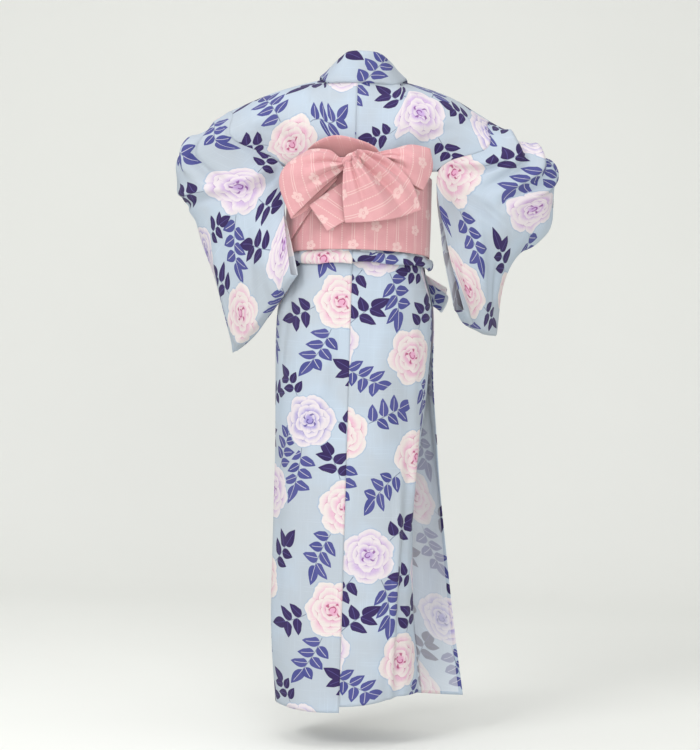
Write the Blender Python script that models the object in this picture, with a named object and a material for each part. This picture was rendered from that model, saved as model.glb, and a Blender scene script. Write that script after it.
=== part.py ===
"""A cotton yukata as it is worn, left front over right, with its half-width obi tied in a bow.

Metres, +Z up. The wearer faces +Y, and +X is the wearer's right. The origin is on the body's
axis, level with the seam at the nape. Each piece of cloth is a wall made from rows of points
on its right side, and each row is worked out from the sizes and the tables below.
"""

import math
from collections import namedtuple

import bpy
from mathutils import Matrix, Vector

# Cloth
WALL = 0.002
TUCK_WALL = 0.0015
COLLAR_WALL = 0.003  # folded double
OBI_WALL = 0.0022
SEAM_GAP = 0.0003  # between pieces that are sewn together
LAYER = 0.005  # from one layer of cloth to the layer on it

# The cut
BACK_WIDTH = 0.300  # each back length, from the centre seam to the side seam
FRONT_WIDTH = 0.250  # each front length, from the side seam to the overlap's seam

# The worn form
CENTRE_SEAM_X = -0.012
WAIST_Z = -0.338  # where the upper lengths stop under the obi
CHEST_CROSSING = (0.16, 0.42)  # the levels between which the right front goes under the left
OBI_TOP_Z = -0.180
OBI_BOTTOM_Z = -0.345
OBI_HALF_WIDTH = 0.150
OBI_BACK = 0.126
OBI_FRONT = 0.128
BACK_FLAT = 0.038  # the skirt hangs flat this far to each side of the centre seam
HEM_STEP = 0.012  # the right back hem stands this much higher at the centre seam
SIDE_LIFT, EDGE_LIFT, UNDER_LIFT = 0.004, 0.008, 0.018  # how the hem rises round the body
ROUND_SKIRT = 0.70  # the distance round over which it rises

# The upper lengths: for each level down the body, a point on each thread that hangs there.
# The outermost thread follows the sleeve's armhole down to the armpit.
Back = namedtuple("Back", "centre corner neck blade side")
BACK_LEVELS = {
    "ridge": Back((0, -0.108, 0.000), (0.070, -0.088, 0.001), (0.084, -0.040, 0.018),
                  (0.178, -0.030, -0.007), None),
    "yoke": Back((0, -0.116, -0.030), (0.068, -0.106, -0.026), (0.096, -0.096, -0.020),
                 (0.180, -0.074, -0.030), None),
    "blade": Back((0, -0.120, -0.088), (0.060, -0.118, -0.085), (0.100, -0.112, -0.080),
                  (0.178, -0.094, -0.080), None),
    "armpit": Back((0, -0.119, -0.142), (0.052, -0.116, -0.142), (0.090, -0.105, -0.142),
                   (0.130, -0.084, -0.145), None),
    "obi": Back((0, -0.114, -0.176), (0.048, -0.110, -0.176), (0.084, -0.096, -0.176),
                (0.114, -0.074, -0.176), (0.141, -0.008, -0.178)),
    "waist": Back((0, -0.110, WAIST_Z), (0.048, -0.106, WAIST_Z), (0.084, -0.093, WAIST_Z),
                  (0.116, -0.070, WAIST_Z), (0.141, -0.004, WAIST_Z)),
}
Front = namedtuple("Front", "centre neck blade side")
FRONT_LEVELS = {
    "ridge": Front((0, -0.020, -0.004), (0.084, -0.040, 0.018), (0.178, -0.030, -0.007), None),
    "bone": Front((0, 0.050, -0.046), (0.086, 0.022, -0.014), (0.180, 0.014, -0.030), None),
    "chest": Front((0, 0.096, -0.100), (0.086, 0.072, -0.078), (0.176, 0.046, -0.082), None),
    "armpit": Front((0, 0.109, -0.145), (0.082, 0.095, -0.142), (0.130, 0.069, -0.145), None),
    "obi": Front((0, 0.109, -0.176), (0.078, 0.092, -0.176), (0.114, 0.066, -0.176),
                 (0.141, -0.008, -0.178)),
    "waist": Front((0, 0.104, WAIST_Z), (0.078, 0.088, WAIST_Z), (0.116, 0.062, WAIST_Z),
                   (0.141, -0.004, WAIST_Z)),
}
ARMPIT_LEVEL = 3  # the armpit's place among the levels
NECK_THREAD = 0.5  # the neck's share across the back's five threads
ARMHOLE_REACH = 0.35  # the share across from which cloth is drawn to the armhole
SIDE_REACH = 0.8  # the share across from which a front is drawn to the back at the side

# The collar's seam and fold: at the neck as points, on the chest as (thread, level) shares.
COLLAR_X = -0.008  # the collar's middle at the nape
COLLAR_NECK = (  # seam, fold
    ((0.000, -0.1125, 0.0030), (0.000, -0.1240, 0.0590)),
    ((0.036, -0.1080, 0.0035), (0.022, -0.1210, 0.0585)),
    ((0.070, -0.0910, 0.0060), (0.040, -0.1080, 0.0560)),
    ((0.088, -0.0450, 0.0250), (0.060, -0.0600, 0.0450)),
)
CollarRow = namedtuple("CollarRow", "level seam fold_level fold")
COLLAR_CHEST = (
    CollarRow(0.10, 0.338, 0.03, 0.235),
    CollarRow(0.325, 0.280, 0.26, 0.080),
    CollarRow(0.55, 0.120, 0.48, -0.110),
    CollarRow(0.775, -0.070, 0.74, -0.300),
    CollarRow(1.00, -0.300, 1.00, -0.540),
)

# The sleeves: sections from the armhole to the cuff. Each hangs through five points, from
# the highest to the lowest, with the arm's radius and half the gap between the layers.
SleeveRow = namedtuple("SleeveRow", "top arm under middle low radius gap")
SLEEVES = {
    "left": (
        SleeveRow((0.281, -0.020, -0.051), (0.278, -0.036, -0.118), (0.170, -0.036, -0.166),
                  (0.152, -0.078, -0.280), (0.128, -0.112, -0.400), 0.052, 0.009),
        SleeveRow((0.320, -0.036, -0.086), (0.322, -0.046, -0.155), (0.262, -0.055, -0.235),
                  (0.212, -0.056, -0.345), (0.170, -0.050, -0.455), 0.048, 0.011),
        SleeveRow((0.331, -0.020, -0.136), (0.338, -0.022, -0.206), (0.314, -0.012, -0.295),
                  (0.270, 0.008, -0.415), (0.230, 0.030, -0.525), 0.046, 0.011),
        SleeveRow((0.306, 0.060, -0.162), (0.319, 0.064, -0.226), (0.308, 0.072, -0.310),
                  (0.286, 0.092, -0.430), (0.266, 0.115, -0.548), 0.042, 0.006),
    ),
    "right": (
        SleeveRow((0.270, -0.020, -0.056), (0.268, -0.036, -0.122), (0.164, -0.034, -0.168),
                  (0.176, -0.042, -0.310), (0.212, -0.040, -0.455), 0.052, 0.012),
        SleeveRow((0.308, -0.036, -0.082), (0.314, -0.044, -0.150), (0.262, -0.045, -0.240),
                  (0.236, -0.020, -0.360), (0.236, 0.020, -0.478), 0.048, 0.012),
        SleeveRow((0.342, -0.024, -0.110), (0.360, -0.022, -0.183), (0.346, -0.014, -0.262),
                  (0.290, 0.020, -0.362), (0.280, 0.090, -0.492), 0.046, 0.010),
        SleeveRow((0.350, 0.048, -0.140), (0.378, 0.040, -0.208), (0.384, 0.038, -0.276),
                  (0.320, 0.070, -0.352), (0.308, 0.150, -0.492), 0.042, 0.006),
    ),
}
ARM_ARC = math.radians(110)  # how far round the arm the cloth lies on it
CUFF_LENGTH = 0.215  # how far down the outer edge the cuff is open
FOLD_ROUND = 0.002  # how sharply the lower edge is folded
ARC_STEPS, SEWN_STEPS, FREE_STEPS = 4, 2, 5

# The skirt: the plan of its two lengths at each height.
SkirtRow = namedtuple("SkirtRow", "z left back front fold_x fold_y right right_y edge_x edge_y turn")
SKIRT = (
    SkirtRow(-0.342, 0.134, 0.101, 0.102, 0.106, -0.065, 0.134, 0.000, 0.138, 0.010, -85),
    SkirtRow(-0.385, 0.143, 0.108, 0.106, 0.114, -0.068, 0.140, 0.000, 0.1445, 0.010, -85),
    SkirtRow(-0.460, 0.165, 0.116, 0.117, 0.132, -0.066, 0.154, 0.000, 0.165, 0.014, -82),
    SkirtRow(-0.620, 0.165, 0.110, 0.118, 0.138, -0.050, 0.148, 0.000, 0.172, 0.026, -76),
    SkirtRow(-0.850, 0.161, 0.101, 0.115, 0.116, -0.062, 0.130, 0.000, 0.192, 0.044, -60),
    SkirtRow(-1.070, 0.158, 0.096, 0.112, 0.084, -0.082, 0.134, 0.004, 0.220, 0.062, -40),
    SkirtRow(-1.275, 0.143, 0.096, 0.110, 0.084, -0.084, 0.150, 0.010, 0.250, 0.075, -18),
)

# The tuck under the obi: how far its fold stands out from the waist, down its height.
TUCK_HALF_WIDTH, TUCK_BACK, TUCK_FRONT = 0.1395, 0.1095, 0.1090
TUCK_PROFILE = ((0.00, 0.0050), (0.20, 0.0072), (0.42, 0.0155), (0.70, 0.0180), (0.92, 0.0158),
                (1.00, 0.0120), (0.90, 0.0090), (0.50, 0.0070))  # down, out
TuckRow = namedtuple("TuckRow", "share top low stand")
TUCK_LEFT = (
    TuckRow(0.00, -0.340, -0.374, 0.000),
    TuckRow(0.20, -0.340, -0.372, 0.000),
    TuckRow(0.40, -0.340, -0.378, 0.002),
    TuckRow(0.60, -0.340, -0.388, 0.006),
    TuckRow(0.80, -0.340, -0.402, 0.012),
    TuckRow(1.00, -0.402, -0.450, 0.014),
)
TUCK_EDGE = (0.184, 0.022)  # where the left front's end of the tuck stands out
TUCK_SLANT = 0.052  # the share of the way round that its lower corner stays back
TUCK_RIGHT_TOP, TUCK_RIGHT_LOW, TUCK_RIGHT_REACH = -0.340, -0.370, 0.56

# The bow: each piece is a table of sections, from the knot outwards.
BOW_WING_LEFT = (
    ((-0.042, -0.150, -0.166), (-0.043, -0.163, -0.176), (-0.044, -0.163, -0.187),
     (-0.045, -0.153, -0.200)),
    ((-0.062, -0.152, -0.151), (-0.070, -0.172, -0.172), (-0.074, -0.174, -0.196),
     (-0.078, -0.158, -0.231)),
    ((-0.088, -0.150, -0.148), (-0.108, -0.174, -0.178), (-0.113, -0.172, -0.216),
     (-0.110, -0.152, -0.263)),
    ((-0.109, -0.141, -0.151), (-0.151, -0.142, -0.182), (-0.163, -0.142, -0.222),
     (-0.137, -0.144, -0.290)),
    ((-0.090, -0.131, -0.153), (-0.116, -0.132, -0.182), (-0.122, -0.132, -0.222),
     (-0.106, -0.134, -0.270)),
    ((-0.048, -0.134, -0.168), (-0.049, -0.134, -0.180), (-0.049, -0.135, -0.194),
     (-0.048, -0.137, -0.208)),
)
BOW_WING_RIGHT = (
    ((0.034, -0.146, -0.154), (0.036, -0.152, -0.160), (0.038, -0.147, -0.168)),
    ((0.066, -0.148, -0.143), (0.073, -0.166, -0.158), (0.077, -0.155, -0.177)),
    ((0.100, -0.146, -0.134), (0.108, -0.164, -0.160), (0.106, -0.150, -0.191)),
    ((0.138, -0.133, -0.139), (0.144, -0.131, -0.178), (0.126, -0.135, -0.224)),
    ((0.104, -0.123, -0.137), (0.110, -0.124, -0.168), (0.108, -0.124, -0.208)),
    ((0.044, -0.137, -0.155), (0.046, -0.137, -0.168), (0.047, -0.138, -0.186)),
)
BOW_LEAF = (
    ((-0.034, -0.182, -0.190), (-0.017, -0.188, -0.180), (0.000, -0.187, -0.168),
     (0.014, -0.178, -0.156)),
    ((-0.036, -0.182, -0.226), (-0.006, -0.190, -0.222), (0.026, -0.184, -0.204),
     (0.053, -0.172, -0.169)),
    ((-0.034, -0.174, -0.262), (0.010, -0.180, -0.258), (0.058, -0.172, -0.240),
     (0.098, -0.160, -0.207)),
    ((-0.029, -0.164, -0.298), (0.022, -0.168, -0.295), (0.078, -0.156, -0.283),
     (0.1245, -0.138, -0.263)),
)
BOW_END = (
    ((-0.036, -0.146, -0.212), (-0.010, -0.148, -0.246), (0.012, -0.150, -0.272)),
    ((-0.068, -0.148, -0.236), (-0.044, -0.154, -0.268), (-0.026, -0.152, -0.291)),
    ((-0.1025, -0.146, -0.262), (-0.083, -0.150, -0.288), (-0.064, -0.148, -0.3135)),
)
BOW_ARCH = (
    ((-0.107, -0.126, -0.150), (-0.108, -0.136, -0.147), (-0.104, -0.118, -0.160)),
    ((-0.085, -0.138, -0.131), (-0.085, -0.148, -0.133), (-0.082, -0.124, -0.156)),
    ((-0.052, -0.144, -0.121), (-0.052, -0.154, -0.124), (-0.052, -0.128, -0.150)),
    ((-0.010, -0.146, -0.127), (-0.010, -0.156, -0.131), (-0.012, -0.130, -0.154)),
    ((0.026, -0.142, -0.140), (0.026, -0.152, -0.144), (0.022, -0.130, -0.162)),
    ((0.040, -0.130, -0.156), (0.040, -0.138, -0.161), (0.036, -0.127, -0.170)),
)
BOW = (  # name, sections, steps along, steps across, turned
    ("bow_wing_left", BOW_WING_LEFT, 15, 7, True),
    ("bow_wing_right", BOW_WING_RIGHT, 15, 5, False),
    ("bow_leaf", BOW_LEAF, 8, 8, True),
    ("bow_end", BOW_END, 5, 5, True),
    ("bow_arch", BOW_ARCH, 12, 4, False),
)
KNOT_MIDDLE, KNOT_TURN = (-0.014, -0.166, -0.171), math.radians(-32)
KNOT_REACH = (0.026, 0.010, 0.014)

# The obi's end folds up to the knot along a slanting line on the left of the back. Angles
# are from the centre back over the right.
OBI_START, OBI_FINISH = math.radians(-70), math.radians(344)
OBI_LAPS = (math.radians(225), math.radians(285))  # where it rises onto its own start
OBI_TIP = 0.006  # the least height that is left of it where it goes under the bow
FOLD_LOW, FOLD_HIGH = (-0.131, -0.313), (-0.100, -0.270)  # two points on that line, x and z

# The colours of the pieces
COTTON = (0.60, 0.72, 0.80)
OBI_PINK = (0.84, 0.37, 0.41)
OBI_LIGHT = (0.88, 0.45, 0.48)


def smooth_through(points, share):
    """The point at a share, from 0 to 1, of a smooth curve through evenly counted points."""
    spans = len(points) - 1
    at = min(max(share, 0.0), 1.0) * spans
    i = min(int(at), spans - 1)
    t = at - i
    here, after = points[i], points[i + 1]
    before = points[i - 1] if i else here * 2 - after
    beyond = points[i + 2] if i + 2 <= spans else after * 2 - here
    bend = before * 2 - here * 5 + after * 4 - beyond
    twist = here * 3 - before - after * 3 + beyond
    return (here * 2 + (after - before) * t + bend * t * t + twist * t**3) * 0.5


def shares(count):
    return [i / count for i in range(count + 1)]


def ease(low, high, value):
    """0 up to low, 1 from high on, and smooth between."""
    t = min(max((value - low) / (high - low), 0.0), 1.0)
    return t * t * (3 - 2 * t)


class Cloth:
    """One piece of cloth: the points of its right side and the quads between them."""

    def __init__(self, name, colour, wall=WALL):
        self.name, self.colour, self.wall = name, colour, wall
        self.points, self.known, self.quads = [], {}, []

    def place(self, point):
        key = tuple(round(c, 6) for c in point)
        if key not in self.known:
            self.known[key] = len(self.points)
            self.points.append(Vector(point))
        return self.known[key]

    def add_rows(self, rows, closed=False, turned=False):
        """Quads between each row of points and the next. A closed piece joins its last row to
        its first, and a turned one has its right side on the other face."""
        rows = [[self.place(p) for p in row] for row in rows]
        if closed:
            rows.append(rows[0])
        for row, following in zip(rows, rows[1:]):
            for i in range(len(row) - 1):
                corners = [row[i], row[i + 1], following[i + 1], following[i]]
                corners = [c for k, c in enumerate(corners) if c != corners[k - 1]]
                if len(corners) > 2:
                    self.quads.append(corners[::-1] if turned else corners)
        return self

    def normals(self):
        found = [Vector() for _ in self.points]
        for quad in self.quads:
            a, b, c, d = (self.points[quad[k % len(quad)]] for k in range(4))
            across = (c - a).cross(d - b) if len(quad) == 4 else (b - a).cross(c - a)
            for i in quad:
                found[i] += across
        return found

    def edge(self):
        """The edges that only one quad has, each in that quad's direction."""
        sides = {(q[k - 1], q[k]) for q in self.quads for k in range(len(q))}
        return [(a, b) for a, b in sides if (b, a) not in sides]


def sew(pieces):
    """Makes the solids of pieces that are sewn together. They share their normals along a
    seam, so the walls of both stand the same way there, half the gap back from it."""
    joined = {}
    for piece in pieces:
        for key, normal in zip(piece.known, piece.normals()):
            joined[key] = joined.get(key, Vector()) + normal
    for piece in pieces:
        outward = [joined[key].normalized() for key in piece.known]
        make_solid(piece, outward)


def triangles_of(quad, points):
    """A quad cut along its shorter diagonal. A triangle stays as it is."""
    if len(quad) == 3:
        return [quad]
    a, b, c, d = quad
    if (points[c] - points[a]).length <= (points[d] - points[b]).length:
        return [(a, b, c), (a, c, d)]
    return [(b, c, d), (b, d, a)]


def make_solid(piece, outward):
    """A wall of the cloth's thickness behind the points, its edges half a seam's gap back."""
    edge = sorted(piece.edge())
    outer = [p.copy() for p in piece.points]
    inward = {}
    for a, b in edge:
        run = piece.points[b] - piece.points[a]
        for i in (a, b):
            inward[i] = inward.get(i, Vector()) + outward[i].cross(run).normalized()
    for i, way in inward.items():
        outer[i] += way * SEAM_GAP / max(way.length_squared, 1)
    inner = [p - n * piece.wall for p, n in zip(outer, outward)]
    count = len(outer)
    faces = []
    for quad in piece.quads:  # both sides are cut along one diagonal, so that no wall thins out
        for a, b, c in triangles_of(quad, outer):
            faces += [[a, b, c], [c + count, b + count, a + count]]
    for a, b in edge:  # both pieces at a seam cut its twisted rim from the same corner
        if tuple(piece.points[a]) < tuple(piece.points[b]):
            faces += [[b, a, a + count], [b, a + count, b + count]]
        else:
            faces += [[b, a, b + count], [a, a + count, b + count]]
    mesh = bpy.data.meshes.new(piece.name)
    mesh.from_pydata([tuple(p) for p in outer + inner], [], faces)
    mesh.validate()
    mesh.shade_smooth()
    solid = bpy.data.objects.new(piece.name, mesh)
    bpy.context.scene.collection.objects.link(solid)
    mesh.materials.append(dyed(piece))


def dyed(piece):
    material = bpy.data.materials.new(piece.name + "_cloth")
    material.use_nodes = True
    shader = material.node_tree.nodes["Principled BSDF"]
    shader.inputs["Base Color"].default_value = (*piece.colour, 1)
    shader.inputs["Roughness"].default_value = 0.85
    shader.inputs["Metallic"].default_value = 0.0
    return material


# --- Sleeves ---------------------------------------------------------------------------------


def on_side(point, side):
    """A point of the right half, moved to the half that is meant."""
    x, y, z = point
    return Vector((-x if side == "left" else x, y, z))


def sleeve_section(side, share):
    """The points that a section hangs through, and how far down each of them is."""
    rows = SLEEVES[side]
    points = [
        smooth_through([Vector(getattr(row, part)) for row in rows], share)
        for part in ("top", "arm", "under", "middle", "low")
    ]
    downs = [0.0]
    for a, b in zip(points, points[1:]):
        downs.append(downs[-1] + (b - a).length)
    return points, downs


def sleeve_middle(section, down):
    """The middle of the sleeve's two layers, down metres below its highest point."""
    points, downs = section
    last = len(downs) - 2
    i = max(k for k in range(last + 1) if down >= downs[k] or k == 0)
    within = (down - downs[i]) / (downs[i + 1] - downs[i])
    return smooth_through(points, (i + min(within, 1.0)) / (last + 1))


def sleeve_downs(side, share):
    """How far down each point of a section is, with half the gap between the layers there."""
    rows = SLEEVES[side]
    radius = smooth_through([row.radius for row in rows], share)
    gap = smooth_through([row.gap for row in rows], share)
    _, (_, _, sewn, _, whole) = sleeve_section(side, share)
    places = []
    for k in range(ARC_STEPS + 1):
        angle = ARM_ARC * k / ARC_STEPS
        places.append((radius * (1 - math.cos(angle)), radius * math.sin(angle)))
    start, widest = places[-1]
    downs = [start + (sewn - start) * k / SEWN_STEPS for k in range(1, SEWN_STEPS + 1)]
    downs += [sewn + (whole - sewn) * k / FREE_STEPS for k in range(1, FREE_STEPS)]
    for down in downs:
        left = 1 - (down - start) / (whole - start)
        places.append((down, gap + (widest - gap) * left**3))
    places.append((whole - FOLD_ROUND, WALL + FOLD_ROUND))
    places.append((whole, 0.0))
    return places


def sleeve_ring(side, share):
    """A section round the sleeve: its back layer downwards, and its front layer."""
    step = 0.02
    before, here, beyond = (
        sleeve_section(side, min(max(share + way, 0), 1)) for way in (-step, 0, step)
    )
    back, front = [], []
    for down, half in sleeve_downs(side, share):
        middle = sleeve_middle(here, down)
        run = sleeve_middle(beyond, down) - sleeve_middle(before, down)
        outward = Vector((run.y, -run.x, 0)).normalized()
        if share == 1 and down > CUFF_LENGTH:
            half = min(half, WALL + SEAM_GAP / 2)  # the edge below the cuff is sewn up
        back.append(on_side(middle + outward * half, side))
        front.append(on_side(middle - outward * half, side))
    return back, front


def sleeve(side, columns=9):
    """One length of cloth folded over the arm, from the armhole to the cuff."""
    piece = Cloth("sleeve_" + side, COTTON)
    rows = []
    for share in shares(columns):
        back, front = sleeve_ring(side, share)
        rows.append(back + front[-2::-1])
    turned = side == "left"
    return piece.add_rows(rows, turned=turned)


# --- Upper lengths ---------------------------------------------------------------------------


def level_rows(levels, side, ring):
    """The levels as lists of points, with the armhole's points put in."""
    sewn = ARC_STEPS + SEWN_STEPS
    armhole = [smooth_through(ring[: sewn + 1], k / ARMPIT_LEVEL) for k in range(ARMPIT_LEVEL + 1)]
    rows = []
    for i, level in enumerate(levels.values()):
        points = [on_side(p, side) for p in level[:-1]]
        points.append(armhole[i] if level.side is None else on_side(level.side, side))
        rows.append(points)
    return rows


def upper_point(rows, thread, level):
    """A point of an upper length, by its share across the threads and down the levels."""
    return smooth_through([smooth_through(row, thread) for row in rows], level)


def upper_levels():
    """The shares down the body at which the rows lie, with the armhole's own first."""
    sewn = ARC_STEPS + SEWN_STEPS
    armpit = ARMPIT_LEVEL / (len(BACK_LEVELS) - 1)
    below = 5
    return [armpit * k / sewn for k in range(sewn)] + [
        armpit + (1 - armpit) * k / below for k in range(below + 1)
    ]


def fitted(rows, ring, thread, level, index):
    """A point of an upper length, drawn to the armhole so that its edge lies on it."""
    here = upper_point(rows, thread, level)
    if index <= ARC_STEPS + SEWN_STEPS:
        here += (ring[index] - upper_point(rows, 1, level)) * ease(ARMHOLE_REACH, 1, thread)
    return here


def chest_offset(side, level):
    """The right front lies under the left one from the chest down."""
    return 0.0 if side == "left" else -2 * LAYER * ease(*CHEST_CROSSING, level)


def chest_point(side, thread, level, lift=0.0):
    """A point on the chest. A thread below 0 is on the other side of the centre."""
    half = side if thread >= 0 else ("right" if side == "left" else "left")
    _, ring = sleeve_ring(half, 0)
    rows = level_rows(FRONT_LEVELS, half, ring)
    step, thread = 0.01, abs(thread)
    here = upper_point(rows, thread, level)
    across = upper_point(rows, min(thread + step, 1), level) - here
    above = upper_point(rows, thread, max(level - step, 0))
    out = across.cross(upper_point(rows, thread, min(level + step, 1)) - above).normalized()
    out = -out if out.y < 0 else out
    return here + out * (lift + chest_offset(side, level))


def collar_seam_thread(level):
    """The thread that the collar is sewn along, which starts at the neck."""
    at_neck = COLLAR_CHEST[0].seam + 0.003
    return smooth_through([at_neck] + [row.seam for row in COLLAR_CHEST], level)


def upper_length(side, threads=7):
    """A back length, over the shoulder and down to the front's waist."""
    back_ring, front_ring = sleeve_ring(side, 0)
    back = level_rows(BACK_LEVELS, side, back_ring)
    front = level_rows(FRONT_LEVELS, side, front_ring)
    for row in back:
        row[0] = Vector((CENTRE_SEAM_X, row[0].y, row[0].z))
    piece = Cloth("upper_" + side, COTTON)
    levels = upper_levels()
    to_neck = 4  # steps from the centre seam to the neck
    back_threads = [NECK_THREAD * k / to_neck for k in range(to_neck)] + [
        NECK_THREAD + (1 - NECK_THREAD) * k / threads for k in range(threads + 1)
    ]
    rows = [[fitted(back, back_ring, t, v, i) for i, v in enumerate(levels)] for t in back_threads]
    piece.add_rows(rows, turned=side == "left")
    ridge = [row[0] for row in rows[to_neck:]]
    front_rows = []
    for k in range(threads + 1):
        column = []
        for i, level in enumerate(levels):
            edge = collar_seam_thread(level)
            thread = edge + (1 - edge) * k / threads
            if i == 0:
                column.append(ridge[k])
                continue
            here = chest_point(side, thread, level)
            if i <= ARC_STEPS + SEWN_STEPS:
                reach = ease(ARMHOLE_REACH, 1, thread)
                here += (front_ring[i] - chest_point(side, 1, level)) * reach
            else:
                side_point = fitted(back, back_ring, 1, level, i)
                reach = ease(SIDE_REACH, 1, thread)
                here += (side_point - chest_point(side, 1, level)) * reach
            column.append(here)
        front_rows.append(column)
    piece.add_rows(front_rows, turned=side == "right")
    return piece


def collar(across=2, between=3, chest_rows=10):
    """One band, from the left front's waist round the neck to the right front's."""
    halves = []
    for side in ("left", "right"):
        neck = [[on_side(p, side) + Vector((COLLAR_X * (1 - k / 3), 0, 0)) for p in pair]
                for k, pair in enumerate(COLLAR_NECK)]
        chest = []
        for share in shares(chest_rows):
            row = CollarRow(*smooth_through([Vector(r) for r in COLLAR_CHEST], share))
            chest.append([
                chest_point(side, row.seam, row.level, LAYER),
                chest_point(side, row.fold, row.fold_level, LAYER * 1.2),
            ])
        joint = neck + chest[:2]
        steps = 3 * between + between
        last = 4 / (len(joint) - 1)
        half = [[smooth_through([pair[k] for pair in joint], last * i / steps) for k in (0, 1)]
                for i in range(steps)]
        halves.append(half + chest)
    whole = halves[0][::-1] + halves[1][1:]
    rows = [[low.lerp(high, t) for t in shares(across)] for low, high in whole]
    return Cloth("collar", COTTON, COLLAR_WALL).add_rows(rows, turned=True)


# --- Skirt -----------------------------------------------------------------------------------


def hermite_run(nodes, per_span=14):
    """Points of a smooth plan line through nodes, each a place and the way it heads."""
    points = []
    for (a, way_a), (b, way_b) in zip(nodes, nodes[1:]):
        reach = (b - a).length * 1.15
        for k in range(per_span):
            t = k / per_span
            points.append(
                a * (1 - 3 * t**2 + 2 * t**3) + b * (3 * t**2 - 2 * t**3)
                + way_a * reach * (t - 2 * t**2 + t**3) + way_b * reach * (t**3 - t**2)
            )
    return points + [nodes[-1][0]]


def along(points, distance):
    """The point at a distance along a line of points, going straight on past its end."""
    for a, b in zip(points, points[1:]):
        step = (b - a).length
        if distance <= step:
            return a.lerp(b, distance / step)
        distance -= step
    return points[-1] + (points[-1] - points[-2]).normalized() * distance


def length_of(points):
    return sum((b - a).length for a, b in zip(points, points[1:]))


def flat(x, y):
    return Vector((x, y, 0))


def skirt_row(share):
    rows = [Vector(row) for row in SKIRT]
    return SkirtRow(*smooth_through(rows, share))


def over_plan(row):
    """The left lengths in plan: from the centre seam round the left and the front to the edge."""
    turn = math.radians(row.turn)
    return hermite_run([
        (flat(CENTRE_SEAM_X, -row.back), flat(-1, 0)),
        (flat(CENTRE_SEAM_X - BACK_FLAT, -row.back), flat(-1, 0)),
        (flat(-row.left, 0), flat(0, 1)),
        (flat(0, row.front), flat(1, 0)),
        (flat(row.edge_x, row.edge_y), flat(math.cos(turn), math.sin(turn))),
    ])


def under_plan(row):
    """The right lengths in plan: round the right and the front, inside the left ones."""
    fold, right = flat(row.fold_x, row.fold_y), flat(row.right, row.right_y)
    centre = flat(CENTRE_SEAM_X, -row.back)
    inside = 1.5 * LAYER
    left, front, back = row.left - inside, row.front - inside, row.back - inside
    return hermite_run([
        (centre, flat(1, 0)),
        (centre + flat(BACK_FLAT, 0), flat(1, 0)),
        (fold, (right - centre).normalized()),
        (right, flat(0, 1)),
        (flat(0, front), flat(-1, 0)),
        (flat(-left, 0), flat(0, -1)),
        (flat(-left * 0.82, -back * 0.5), flat(0.6, -0.8)),  # the hidden free edge
    ])


def hem_lift(side, far):
    """How much higher the hem is, by the share of the way round from the centre seam."""
    if side == "left":
        return SIDE_LIFT * ease(0, 0.3, far) + EDGE_LIFT * ease(0.5, 1, far)
    return HEM_STEP + UNDER_LIFT * ease(0, 0.2, far)


def skirt_length(name, side, start, end, columns, rows=9):
    """A length of the skirt between two distances from the centre seam. An end of None is
    the free edge."""
    lines = []
    for t in shares(columns):
        line = []
        for share in shares(rows):
            row = skirt_row(share)
            plan = (over_plan if side == "left" else under_plan)(row)
            last = length_of(plan) if end is None else end
            here = along(plan, start + (last - start) * t)
            far = (start + (last - start) * t) / ROUND_SKIRT
            line.append(Vector((here.x, here.y, row.z + hem_lift(side, far) * share**3)))
        lines.append(line)
    return Cloth(name, COTTON).add_rows(lines, turned=side == "left")


# --- Obi, tuck and bow -----------------------------------------------------------------------


def ring_point(angle, half_width, back, front):
    """A point round the waist. The angle runs from the centre back over the right."""
    depth = back if math.cos(angle) > 0 else front
    return flat(half_width * math.sin(angle), -depth * math.cos(angle))


def obi_band(steps=48, rows=2):
    """A turn of the obi that ends outside its own start, where it folds up to the knot."""
    slope = (FOLD_HIGH[1] - FOLD_LOW[1]) / (FOLD_HIGH[0] - FOLD_LOW[0])
    lines = []
    for t in shares(steps):
        angle = OBI_START + (OBI_FINISH - OBI_START) * t
        out = LAYER * ease(*OBI_LAPS, angle)
        low = OBI_BOTTOM_Z
        if angle > 1.5 * math.pi:
            x = -OBI_HALF_WIDTH * math.sin(2 * math.pi - angle)
            low = max(low, FOLD_LOW[1] + (x - FOLD_LOW[0]) * slope)
        low = min(low, OBI_TOP_Z - OBI_TIP)
        line = []
        for down in shares(rows):
            here = ring_point(angle, OBI_HALF_WIDTH + out, OBI_BACK + out, OBI_FRONT + out)
            here.z = OBI_TOP_Z + (low - OBI_TOP_Z) * down
            line.append(here)
        lines.append(line)
    return Cloth("obi_band", OBI_PINK, OBI_WALL).add_rows(lines)


def tuck_line(share, top, low, base, stand=0.0, slant=0.0):
    """A section of the tuck: down its outside, round its fold and up its inside."""
    line = []
    for down, out in TUCK_PROFILE:
        here = base(share - slant * down, out + stand * down)
        here.z = top + (low - top) * down
        line.append(here)
    return line


def tuck_left(columns=24):
    """The left lengths' fold, from the centre back round the left and over the front."""
    def base(share, out):
        back, front = TUCK_BACK + out, TUCK_FRONT + out + LAYER
        plan = hermite_run([
            (flat(CENTRE_SEAM_X, -back), flat(-1, 0)),
            (flat(-TUCK_HALF_WIDTH - out, 0), flat(0, 1)),
            (flat(0, front), flat(1, 0)),
            (flat((TUCK_HALF_WIDTH + out) * 0.72, front * 0.72), flat(0.8, -0.6)),
            (flat(TUCK_EDGE[0] + out, TUCK_EDGE[1]), flat(0.85, -0.5)),
        ])
        return along(plan, length_of(plan) * share)

    lines = []
    for share in shares(columns):
        row = TuckRow(*smooth_through([Vector(r) for r in TUCK_LEFT], share))
        slant = TUCK_SLANT * ease(0.85, 1, share)
        lines.append(tuck_line(share, row.top, row.low, base, row.stand, slant))
    return Cloth("tuck_left", COTTON, TUCK_WALL).add_rows(lines, turned=True)


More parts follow.
